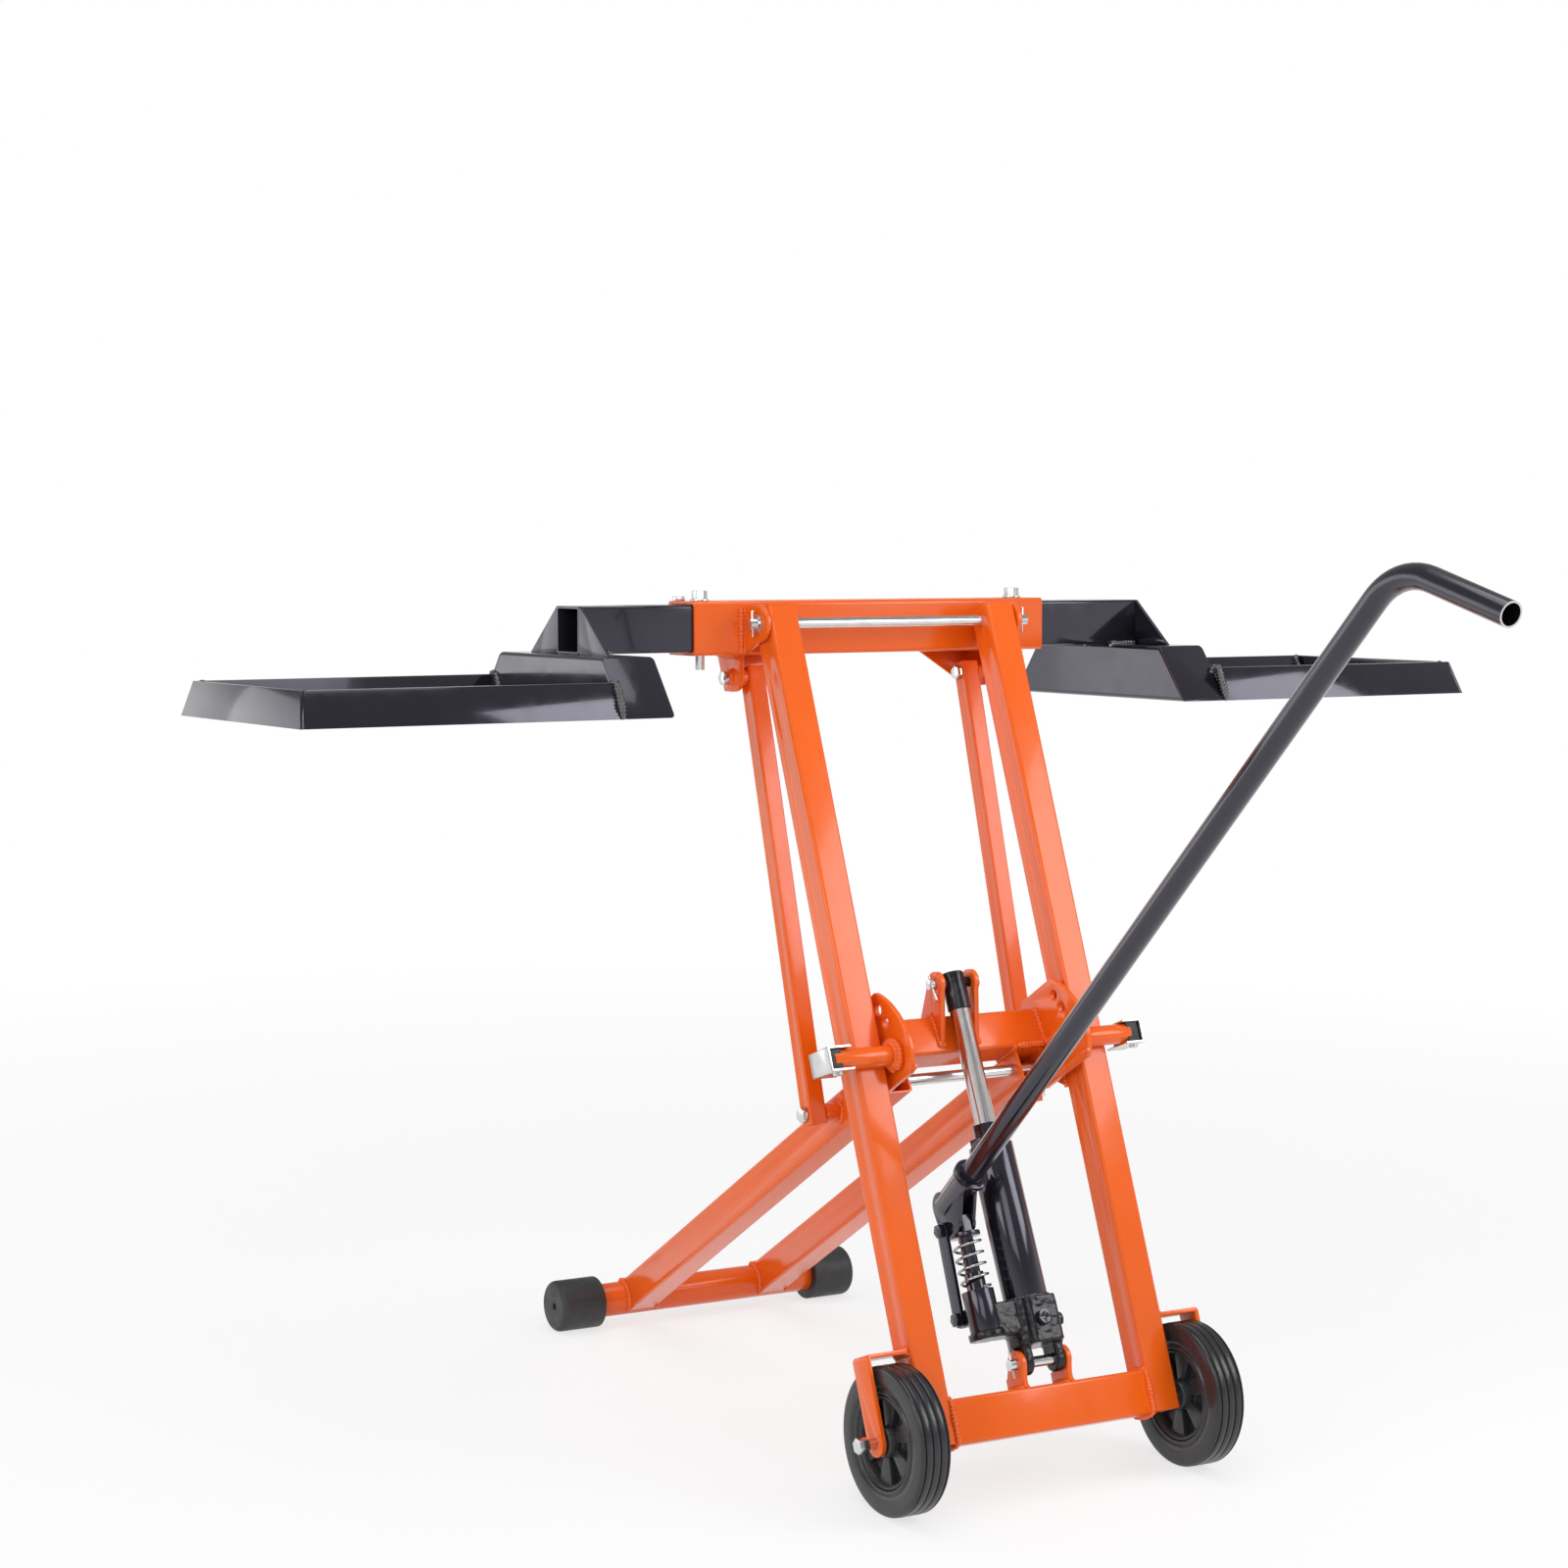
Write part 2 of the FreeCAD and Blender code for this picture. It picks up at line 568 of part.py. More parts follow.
def tyre_side():
    """Half the tyre's outline, from the bead by the rim to the edge of the tread."""
    half = WHEEL_WIDTH / 2
    corner = TYRE_ROUND * (1 - math.cos(math.radians(45.0)))
    bead = TYRE_RIM_RADIUS + TYRE_BEAD
    return [
        (TYRE_RIM_RADIUS, half - TYRE_BEAD_STEP), (bead, half - TYRE_BEAD_STEP),
        (bead + TYRE_BEAD_STEP, half), (WHEEL_RADIUS - TYRE_ROUND, half),
        (WHEEL_RADIUS - corner, half - corner), (WHEEL_RADIUS, half - TYRE_ROUND)]


def make_tyre():
    """A solid rubber ring with a bead at the rim and grooves round the tread."""
    outline = tyre_side()
    first = WHEEL_WIDTH / 2 - TYRE_OUTER_RIB
    for number in range(TYRE_GROOVES):
        middle = first - 2 * first * number / (TYRE_GROOVES - 1)
        outline.append((WHEEL_RADIUS, middle + TYRE_GROOVE_WIDTH / 2))
        outline.append((WHEEL_RADIUS - TYRE_GROOVE_DEPTH, middle))
        outline.append((WHEEL_RADIUS, middle - TYRE_GROOVE_WIDTH / 2))
    outline += [(radius, -y) for radius, y in reversed(tyre_side())]
    tyre = revolved_along_y(outline, AXLE.x, AXLE.z)
    tyre.translate(Vector(0, WHEEL_MIDDLE_Y, 0))
    return tyre


def make_wheel_hub():
    """A plastic hub: a boss on the axle, a rim inside the tyre and wedge spokes between."""
    half = HUB_WIDTH / 2 - HUB_RIM_INSET
    inner = TYRE_RIM_RADIUS - HUB_RIM_WALL
    rim = round_along_y(0, 0, TYRE_RIM_RADIUS, -half, half)
    rim = rim.cut(round_along_y(0, 0, inner, -half - OVERRUN, half + OVERRUN))
    hub = rim.fuse(round_along_y(0, 0, HUB_RADIUS, -HUB_WIDTH / 2, HUB_WIDTH / 2))
    hub = hub.fuse(round_along_y(0, 0, inner + HUB_RIM_WALL / 2, -HUB_DISC / 2, HUB_DISC / 2))
    for number in range(HUB_SPOKES):
        tip = inner + HUB_RIM_WALL / 2
        spoke = plate_along_y([
            (0, -HUB_SPOKE_ROOT / 2), (tip, -HUB_SPOKE_TIP / 2), (tip, HUB_SPOKE_TIP / 2),
            (0, HUB_SPOKE_ROOT / 2)], HUB_SPOKE_INSET - half, half - HUB_SPOKE_INSET)
        spoke.rotate(Vector(0, 0, 0), ALONG_Y, 360.0 * number / HUB_SPOKES)
        hub = hub.fuse(spoke)
    hub = hub.removeSplitter()
    hub = hub.cut(round_along_y(
        0, 0, AXLE_RADIUS + PIN_CLEARANCE, -half - OVERRUN, half + OVERRUN))
    hub.translate(Vector(0, WHEEL_MIDDLE_Y, 0))
    hub.translate(AXLE)
    return hub


# Leg frame

def make_leg():
    middle_y = (LEG_INNER_Y + LEG_OUTER_Y) / 2
    leg = tube_along_x(
        -LEG_LENGTH, LEG_PAST_PIVOT, middle_y, 0, LEG_SIZE, LEG_SIZE, TUBE_WALL, TUBE_CORNER)
    y0 = LEG_INNER_Y - OVERRUN
    y1 = LEG_OUTER_Y + OVERRUN
    leg = leg.cut(round_along_y(-LEG_LENGTH, 0, FOOT_BAR_RADIUS + SEAT_GAP, y0, y1))
    leg = leg.cut(round_along_y(0, 0, ROD_RADIUS, y0, y1))
    leg = leg.cut(round_along_y(-LINK_PIVOT_DOWN_LEG, 0, BOLT_RADIUS, y0, y1))
    return placed(leg, LEG)


def make_foot_bar():
    half = FOOT_CAP_OUTER_Y - FOOT_CAP_END
    bar = round_along_y(-LEG_LENGTH, 0, FOOT_BAR_RADIUS, -half, half)
    bar = bar.cut(round_along_y(
        -LEG_LENGTH, 0, FOOT_BAR_RADIUS - FOOT_BAR_WALL, -half - OVERRUN, half + OVERRUN))
    return placed(bar, LEG)


def make_foot_cap():
    """A rubber cap over the bar's end, rounded outside, with a small hole in its end wall."""
    start = FOOT_CAP_OUTER_Y - FOOT_CAP_LENGTH
    wall = FOOT_CAP_OUTER_Y - FOOT_CAP_END
    edge = FOOT_CAP_EDGE_RADIUS
    corner = edge * (1 - math.cos(math.radians(45.0)))
    cap = revolved_along_y([
        (FOOT_BAR_RADIUS, start), (FOOT_CAP_RADIUS - FOOT_CAP_LIP_HEIGHT, start),
        (FOOT_CAP_RADIUS, start + FOOT_CAP_LIP_HEIGHT), (FOOT_CAP_RADIUS, FOOT_CAP_OUTER_Y - edge),
        (FOOT_CAP_RADIUS - corner, FOOT_CAP_OUTER_Y - corner),
        (FOOT_CAP_RADIUS - edge, FOOT_CAP_OUTER_Y), (FOOT_CAP_HOLE_RADIUS, FOOT_CAP_OUTER_Y),
        (FOOT_CAP_HOLE_RADIUS, wall), (FOOT_BAR_RADIUS, wall)], -LEG_LENGTH, 0)
    return placed(cap, LEG)


def make_mid_cross_tube():
    x_middle = MID_CROSS_SIZE / 2 - MID_CROSS_BEHIND_PIVOT
    z_middle = LEG_HALF + MID_CROSS_SIZE / 2
    tube = tube_along_y(
        -LEG_OUTER_Y, LEG_OUTER_Y, x_middle, z_middle, MID_CROSS_SIZE, MID_CROSS_SIZE,
        TUBE_WALL, TUBE_CORNER)
    return placed(tube, LEG)


def make_ram_ear():
    """A plate over the front corner of the cross tube, with the ram's pin hole on top."""
    y0 = RAM_EAR_INNER_Y
    y1 = RAM_EAR_INNER_Y + EAR_THICKNESS
    front = MID_CROSS_SIZE - MID_CROSS_BEHIND_PIVOT
    top = LEG_HALF + MID_CROSS_SIZE
    tip = round_along_y(RAM_EAR_ALONG, RAM_EAR_ABOVE, RAM_EAR_RADIUS, y0, y1)
    back_lean = math.atan2(RAM_EAR_ABOVE - top, RAM_EAR_ALONG - RAM_EAR_REAR)
    web = plate_along_y([
        (RAM_EAR_REAR, top), (front, top), (front, LEG_HALF + RAM_EAR_FOOT),
        (RAM_EAR_ALONG + RAM_EAR_RADIUS, RAM_EAR_ABOVE),
        (RAM_EAR_ALONG - RAM_EAR_RADIUS * math.sin(back_lean),
         RAM_EAR_ABOVE + RAM_EAR_RADIUS * math.cos(back_lean))], y0, y1)
    ear = tip.fuse(web).removeSplitter()
    ear = ear.cut(round_along_y(
        RAM_EAR_ALONG, RAM_EAR_ABOVE, RAM_PIN_RADIUS, y0 - OVERRUN, y1 + OVERRUN))
    return placed(ear, LEG)


def make_sector_plate():
    """The rounded side plate with two lock holes on the outside of the leg."""
    y0 = LEG_OUTER_Y
    y1 = PLATE_OUTER_Y
    front = PLATE_ARC_RADIUS + OVERRUN
    plate = plate_along_y([
        (PLATE_BACK, PLATE_BOTTOM), (front, PLATE_BOTTOM), (front, PLATE_TOP), (0, PLATE_TOP)],
        y0, y1)
    plate = plate.common(round_along_y(0, 0, PLATE_ARC_RADIUS, y0, y1))
    back = []
    ahead = []
    for edge in edges_along(plate, ALONG_Y):
        if edge.CenterOfMass.x < PLATE_CORNER:
            back.append(edge)
        else:
            ahead.append(edge)
    plate = plate.makeFillet(PLATE_CORNER, back)
    plate = plate.makeFillet(PLATE_FRONT_CORNER, [
        edge for edge in edges_along(plate, ALONG_Y)
        if any((edge.CenterOfMass - other.CenterOfMass).Length < PIECE_GAP for other in ahead)])
    for x, z in (UPPER_LOCK_HOLE, LOWER_LOCK_HOLE):
        plate = plate.cut(round_along_y(x, z, LOCK_HOLE_RADIUS, y0 - OVERRUN, y1 + OVERRUN))
    plate = plate.cut(round_along_y(0, 0, ROD_RADIUS, y0 - OVERRUN, y1 + OVERRUN))
    return placed(plate, LEG)


def make_lock_tube():
    """The round tube welded across the arm's front, from the sector plate outwards."""
    start = PLATE_OUTER_Y + PIECE_GAP
    tube = round_along_y(
        LOCK_TUBE_DOWN, LOCK_TUBE_FORWARD, LOCK_TUBE_RADIUS, start, LOCK_TUBE_END_Y)
    tube = tube.cut(round_along_y(
        LOCK_TUBE_DOWN, LOCK_TUBE_FORWARD, LOCK_TUBE_RADIUS - LOCK_TUBE_WALL,
        start - OVERRUN, LOCK_TUBE_END_Y + OVERRUN))
    return placed(tube, ARM)


def make_lock_channel():
    """A zinc channel round the lock tube's end, beside the arm."""
    half = LOCK_TUBE_RADIUS + CHANNEL_WALL
    low = LOCK_TUBE_DOWN - half
    high = LOCK_TUBE_DOWN + half
    channel = rounded_block(
        low, high, CHANNEL_INNER_Y, CHANNEL_OUTER_Y, CHANNEL_BACK, CHANNEL_FRONT,
        ALONG_Z, CHANNEL_CORNER)
    channel = channel.cut(block(
        low + CHANNEL_WALL, high - CHANNEL_WALL, CHANNEL_INNER_Y - OVERRUN,
        CHANNEL_OUTER_Y - CHANNEL_WALL, CHANNEL_BACK - OVERRUN, CHANNEL_FRONT + OVERRUN))
    screw_y = (LOCK_TUBE_END_Y + CHANNEL_OUTER_Y - CHANNEL_WALL) / 2
    screw = Part.makeCylinder(
        CHANNEL_SCREW_HEAD_RADIUS, CHANNEL_SCREW_HEAD,
        Vector(high, screw_y, LOCK_TUBE_FORWARD), ALONG_X)
    return placed(channel.fuse(screw), ARM)


def make_lock_block():
    """The black block between the lock tube's end and the channel's web."""
    half = LOCK_TUBE_RADIUS
    piece = block(
        LOCK_TUBE_DOWN - half, LOCK_TUBE_DOWN + half, LOCK_TUBE_END_Y,
        CHANNEL_OUTER_Y - CHANNEL_WALL, LOCK_BLOCK_BACK, CHANNEL_FRONT)
    return placed(piece, ARM)


def make_middle_rod():
    rod = round_along_y(0, 0, ROD_RADIUS, -MIDDLE_ROD_END_Y, MIDDLE_ROD_END_Y)
    for side in SIDES:
        inner = ARM_INNER_Y + LUG_THICKNESS + PIECE_GAP
        y0 = min(side * inner, side * (inner + WASHER_THICKNESS))
        rod = rod.fuse(round_along_y(0, 0, WASHER_RADIUS, y0, y0 + WASHER_THICKNESS))
        inner = PLATE_OUTER_Y
        outer = ARM_INNER_Y - PIECE_GAP
        y0 = min(side * inner, side * outer)
        rod = rod.fuse(round_along_y(0, 0, WASHER_RADIUS, y0, y0 + outer - inner))
    return placed(rod, LEG)


def make_link_boss():
    boss = round_along_y(
        -LINK_PIVOT_DOWN_LEG, 0, LINK_HALF, LEG_OUTER_Y, LINK_MIDDLE_Y - LINK_HALF - PIECE_GAP)
    boss = boss.cut(round_along_y(
        -LINK_PIVOT_DOWN_LEG, 0, BOLT_RADIUS, LEG_OUTER_Y - OVERRUN, LINK_MIDDLE_Y))
    return placed(boss, LEG)


def make_link_lower_bolt():
    outer = LINK_MIDDLE_Y + LINK_HALF + PIECE_GAP
    bolt = bolt_along_y(
        -LINK_PIVOT_DOWN_LEG, 0, LEG_INNER_Y, outer, BOLT_RADIUS, BOLT_HEAD_RADIUS,
        BOLT_HEAD_HEIGHT)
    return placed(bolt, LEG)


def make_ram_pin_end(y_inner, y_outer):
    """One outer end of the ram's pin, from the ear outwards."""
    pin = round_along_y(RAM_EAR_ALONG, RAM_EAR_ABOVE, RAM_PIN_RADIUS, y_inner, y_outer)
    return placed(pin, LEG)


def make_ram_pin_ends():
    inner = RAM_EAR_INNER_Y
    outer = RAM_EAR_INNER_Y + EAR_THICKNESS
    right = make_ram_pin_end(inner, outer + WASHER_THICKNESS)
    head = round_along_y(
        RAM_EAR_ALONG, RAM_EAR_ABOVE, BOLT_HEAD_RADIUS, outer, outer + WASHER_THICKNESS * 2)
    right = right.fuse(placed(head, LEG))
    left = make_ram_pin_end(-RAM_PIN_END_Y, -inner)
    cotter = Part.makeCylinder(
        COTTER_RADIUS, COTTER_LENGTH,
        Vector(RAM_EAR_ALONG, -(outer + RAM_PIN_END_Y) / 2, RAM_EAR_ABOVE - COTTER_LENGTH * 2 / 3),
        ALONG_Z)
    left = left.fuse(placed(cotter, LEG))
    return Part.makeCompound([left, right])


# Links between the leg and the carrier

def make_link():
    link = tube_along_x(
        -LINK_END_PAST_PIN, LINK_LENGTH + LINK_END_PAST_PIN, LINK_MIDDLE_Y, 0,
        LINK_SIZE, LINK_SIZE, TUBE_WALL, LINK_CORNER)
    y0 = LINK_MIDDLE_Y - LINK_HALF - OVERRUN
    y1 = LINK_MIDDLE_Y + LINK_HALF + OVERRUN
    link = link.cut(round_along_y(0, 0, BOLT_RADIUS + PIN_CLEARANCE, y0, y1))
    link = link.cut(round_along_y(LINK_LENGTH, 0, BOLT_RADIUS, y0, y1))
    return placed(link, LINK)


def make_link_pin():
    """The upper bolt's shank and nut, inside the link."""
    inner = LINK_MIDDLE_Y - LINK_HALF
    outer = LINK_MIDDLE_Y + LINK_HALF
    pin = round_along_y(LINK_LENGTH, 0, BOLT_RADIUS, inner - BOLT_HEAD_HEIGHT, outer)
    pin = pin.fuse(hexagon_along_y(LINK_LENGTH, 0, BOLT_HEAD_RADIUS, inner - BOLT_HEAD_HEIGHT, inner))
    return placed(pin.removeSplitter(), LINK)


# Carrier

def make_carrier_tube():
    tube = tube_along_y(
        -CARRIER_HALF_LENGTH, CARRIER_HALF_LENGTH, CARRIER_MIDDLE, -CARRIER_BELOW_PIVOT,
        CARRIER_SIZE, CARRIER_SIZE, CARRIER_WALL, CARRIER_CORNER)
    for side in SIDES:
        tube = tube.cut(round_along_z(
            CARRIER_MIDDLE, side * LOCK_BOLT_Y, LOCK_BOLT_RADIUS, CARRIER_BOTTOM - OVERRUN,
            CARRIER_BOTTOM + CARRIER_SIZE + OVERRUN))
        tube = tube.cut(round_along_z(
            CARRIER_MIDDLE - END_SCREW_BACK, side * END_SCREW_Y, END_SCREW_RADIUS,
            -CARRIER_BELOW_PIVOT, CARRIER_BOTTOM + CARRIER_SIZE + OVERRUN))
    return placed(tube, CARRIER)


def make_carrier_ear():
    y0 = CARRIER_EAR_INNER_Y
    y1 = CARRIER_EAR_OUTER_Y
    root = -CARRIER_FRONT_BEHIND_PIVOT
    ear = plate_along_y([
        (root, CARRIER_EAR_BOTTOM), (root, CARRIER_EAR_TOP), (0, CARRIER_EAR_RADIUS),
        (CARRIER_EAR_RADIUS, 0), (0, -CARRIER_EAR_RADIUS)], y0, y1)
    ear = ear.fuse(round_along_y(0, 0, CARRIER_EAR_RADIUS, y0, y1)).removeSplitter()
    ear = ear.cut(round_along_y(0, 0, TOP_ROD_RADIUS, y0 - OVERRUN, y1 + OVERRUN))
    return placed(ear, CARRIER)


def make_link_lug():
    """A plate under the carrier with the link's upper pivot, its boss and a gusset behind."""
    y0 = CARRIER_EAR_INNER_Y
    y1 = CARRIER_EAR_OUTER_Y
    x = -LINK_TOP_BEHIND_PIVOT
    z = -LINK_TOP_BELOW_PIVOT
    rear = CARRIER_MIDDLE - CARRIER_HALF
    bottom = z - LINK_LUG_RADIUS
    lug = block(rear, x + LINK_LUG_RADIUS, y0, y1, z, CARRIER_BOTTOM)
    lug = lug.fuse(block(rear, x, y0, y1, bottom, z))
    lug = lug.fuse(round_along_y(x, z, LINK_LUG_RADIUS, y0, y1)).removeSplitter()
    inner = LINK_MIDDLE_Y + LINK_HALF + PIECE_GAP
    lug = lug.fuse(round_along_y(x, z, LINK_LUG_BOSS_RADIUS, inner, y0))
    gusset = plate_along_x([
        (y0 - GUSSET_REACH, CARRIER_BOTTOM), (y0, CARRIER_BOTTOM), (y0, bottom),
        (y0 - GUSSET_TIP, bottom)], rear, rear + GUSSET_THICKNESS)
    lug = lug.fuse(gusset).removeSplitter()
    return placed(lug, CARRIER)


def make_link_upper_bolt():
    head = hexagon_along_y(
        -LINK_TOP_BEHIND_PIVOT, -LINK_TOP_BELOW_PIVOT, BOLT_HEAD_RADIUS, CARRIER_EAR_OUTER_Y,
        CARRIER_EAR_OUTER_Y + BOLT_HEAD_HEIGHT)
    return placed(head, CARRIER)


def make_top_rod():
    """The rod through both arms and ears, with a washer and a cotter at each end."""
    rod = round_along_y(0, 0, TOP_ROD_RADIUS, -TOP_ROD_END_Y, TOP_ROD_END_Y)
    for side in SIDES:
        y0 = min(side * CARRIER_EAR_OUTER_Y, side * (CARRIER_EAR_OUTER_Y + WASHER_THICKNESS))
        rod = rod.fuse(round_along_y(0, 0, WASHER_RADIUS, y0, y0 + WASHER_THICKNESS))
        cotter_y = (CARRIER_EAR_OUTER_Y + WASHER_THICKNESS + TOP_ROD_END_Y) / 2
        rod = rod.fuse(round_along_z(
            0, side * cotter_y, COTTER_RADIUS, -COTTER_LENGTH / 2, COTTER_LENGTH / 2))
    return placed(rod, CARRIER)


def make_lock_bolt():
    top = CARRIER_BOTTOM + CARRIER_SIZE
    bolt = round_along_z(
        CARRIER_MIDDLE, LOCK_BOLT_Y, LOCK_BOLT_RADIUS, CARRIER_BOTTOM - LOCK_BOLT_BELOW, top)
    washer = round_along_z(CARRIER_MIDDLE, LOCK_BOLT_Y, WASHER_RADIUS, top, top + WASHER_THICKNESS)
    head = hexagon_along_z(
        CARRIER_MIDDLE, LOCK_BOLT_Y, BOLT_HEAD_RADIUS, top + WASHER_THICKNESS,
        top + WASHER_THICKNESS + BOLT_HEAD_HEIGHT * 3 / 2)
    return placed(bolt.fuse(washer).fuse(head).removeSplitter(), CARRIER)


def make_end_screw():
    """A small screw in the top wall, near the carrier's end and its rear edge."""
    x = CARRIER_MIDDLE - END_SCREW_BACK
    top = CARRIER_BOTTOM + CARRIER_SIZE
    screw = round_along_z(x, END_SCREW_Y, END_SCREW_RADIUS, top - CARRIER_WALL, top)
    head = hexagon_along_z(x, END_SCREW_Y, END_SCREW_HEAD_RADIUS, top, top + END_SCREW_HEAD)
    return placed(screw.fuse(head).removeSplitter(), CARRIER)


# Tyre pans, built about the carrier tube's own centre line

PAN = CARRIER.multiply(Placement(Vector(CARRIER_MIDDLE, 0, -CARRIER_BELOW_PIVOT), Rotation()))


def make_pan_tube():
    """The square tube that slides in the carrier, slotted for the lock bolt."""
    tube = tube_along_y(
        PAN_TUBE_INNER_END_Y, PAN_TUBE_OUTER_END_Y, 0, 0, PAN_TUBE_SIZE, PAN_TUBE_SIZE,
        PAN_TUBE_WALL, CARRIER_CORNER - CARRIER_WALL / 2)
    half = LOCK_BOLT_RADIUS + PAN_CLEARANCE
    start = LOCK_BOLT_Y - PAN_SLIDE_OUT - PAN_SLOT_MARGIN
    end = LOCK_BOLT_Y + PAN_SLIDE_IN + PAN_SLOT_MARGIN
    slot = block(-half, half, start, end, -CARRIER_SIZE, CARRIER_SIZE)
    for y in (start, end):
        slot = slot.fuse(round_along_z(0, y, half, -CARRIER_SIZE, CARRIER_SIZE))
    return placed(tube.cut(slot.removeSplitter()), PAN)


def box_slant(inset):
    """The box's side outline, drawn in from its slanted ends by the given thickness."""
    run = BOX_BOTTOM_HALF - BOX_TOP_HALF
    back = inset * math.hypot(run, BOX_HEIGHT) / BOX_HEIGHT
    extra = OVERRUN * run / BOX_HEIGHT
    low = BOX_BOTTOM_HALF - back + extra
    high = BOX_TOP_HALF - back - extra
    return plate_along_y([
        (-low, BOX_BOTTOM - OVERRUN), (low, BOX_BOTTOM - OVERRUN),
        (high, BOX_TOP + OVERRUN), (-high, BOX_TOP + OVERRUN)],
        BOX_INNER_Y - OVERRUN, BOX_OUTER_Y + OVERRUN)


def make_pan_box():
    """The square tube across the pan, cut to a slant and closed by a plate at each end."""
    y_middle = (BOX_INNER_Y + BOX_OUTER_Y) / 2
    z_middle = (BOX_TOP + BOX_BOTTOM) / 2
    tube = tube_along_x(
        -BOX_BOTTOM_HALF, BOX_BOTTOM_HALF, y_middle, z_middle, BOX_WIDTH, BOX_HEIGHT,
        BOX_WALL, BOX_CORNER)
    bar = rounded_block(
        -BOX_BOTTOM_HALF, BOX_BOTTOM_HALF, BOX_INNER_Y, BOX_OUTER_Y, BOX_BOTTOM, BOX_TOP,
        ALONG_X, BOX_CORNER)
    plates = bar.common(box_slant(0)).cut(box_slant(BOX_END_PLATE))
    pieces = [tube.common(box_slant(BOX_END_PLATE))] + plates.Solids
    return placed(Part.makeCompound(pieces), PAN)


def rail_outline(direction, reach):
    """A bent sheet rail: a leaning outer wall, a narrow top and a ramp to the inside."""
    top = BOX_BOTTOM + RAIL_HEIGHT
    crown = reach - RAIL_LEAN
    inner = crown - RAIL_TOP_WIDTH
    slant = math.hypot(RAIL_LEAN, RAIL_HEIGHT) / RAIL_HEIGHT * RAIL_THICKNESS
    ramp = math.hypot(RAIL_INNER_LEAN, RAIL_HEIGHT) / RAIL_HEIGHT * RAIL_THICKNESS
    under = top - RAIL_THICKNESS
    lean_share = RAIL_THICKNESS / RAIL_HEIGHT
    points = [
        (reach, BOX_BOTTOM), (crown, top), (inner, top), (inner - RAIL_INNER_LEAN, BOX_BOTTOM),
        (inner - RAIL_INNER_LEAN + ramp, BOX_BOTTOM),
        (inner + ramp - RAIL_INNER_LEAN * lean_share, under),
        (crown - slant + RAIL_LEAN * lean_share, under), (reach - slant, BOX_BOTTOM)]
    return [(direction * x, z) for x, z in points]


def cut_pan_end(shape):
    """Trims a rail to the leaning inner face of the pan's end wall."""
    top = BOX_BOTTOM + RAIL_HEIGHT
    wall = RAIL_THICKNESS
    slope = END_WALL_LEAN / RAIL_HEIGHT
    wedge = plate_along_x([
        (END_WALL_Y - wall + slope * OVERRUN, BOX_BOTTOM - OVERRUN),
        (END_WALL_Y + OVERRUN, BOX_BOTTOM - OVERRUN),
        (END_WALL_Y + OVERRUN, top + OVERRUN),
        (END_WALL_Y - END_WALL_LEAN - wall - slope * OVERRUN, top + OVERRUN)],
        -RAIL_FRONT - OVERRUN, RAIL_FRONT + OVERRUN)
    return shape.cut(wedge)


def make_pan_rails():
    rails = []
    for direction, reach in ((1, RAIL_FRONT), (-1, RAIL_BACK)):
        rail = plate_along_y(rail_outline(direction, reach), BOX_OUTER_Y, END_WALL_Y)
        rails.append(placed(cut_pan_end(rail), PAN))
    return Part.makeCompound(rails)


def make_pan_end_wall():
    top = BOX_BOTTOM + RAIL_HEIGHT
    wall = plate_along_x([
        (END_WALL_Y - RAIL_THICKNESS, BOX_BOTTOM), (END_WALL_Y, BOX_BOTTOM),
        (END_WALL_Y - END_WALL_LEAN, top), (END_WALL_Y - END_WALL_LEAN - RAIL_THICKNESS, top)],
        -RAIL_FRONT, RAIL_FRONT)
    trim = plate_along_y([
        (-RAIL_BACK, BOX_BOTTOM), (RAIL_FRONT, BOX_BOTTOM), (RAIL_FRONT - RAIL_LEAN, top),
        (-RAIL_BACK + RAIL_LEAN, top)], BOX_OUTER_Y, END_WALL_Y + OVERRUN)
    return placed(wall.common(trim), PAN)


def make_pan_gussets():
    """Triangles at the end of the tube, standing on the box before and behind it."""
    y1 = PAN_TUBE_OUTER_END_Y
    y0 = y1 - PAN_GUSSET_THICKNESS
    gussets = []
    for side in SIDES:
        gusset = plate_along_y([
            (side * PAN_TUBE_HALF, BOX_TOP), (side * (PAN_TUBE_HALF + PAN_GUSSET_LENGTH), BOX_TOP),
            (side * PAN_TUBE_HALF, PAN_TUBE_HALF)], y0, y1)
        gussets.append(placed(gusset, PAN))
    return Part.makeCompound(gussets)


# Bottle jack, built standing on its lower pin

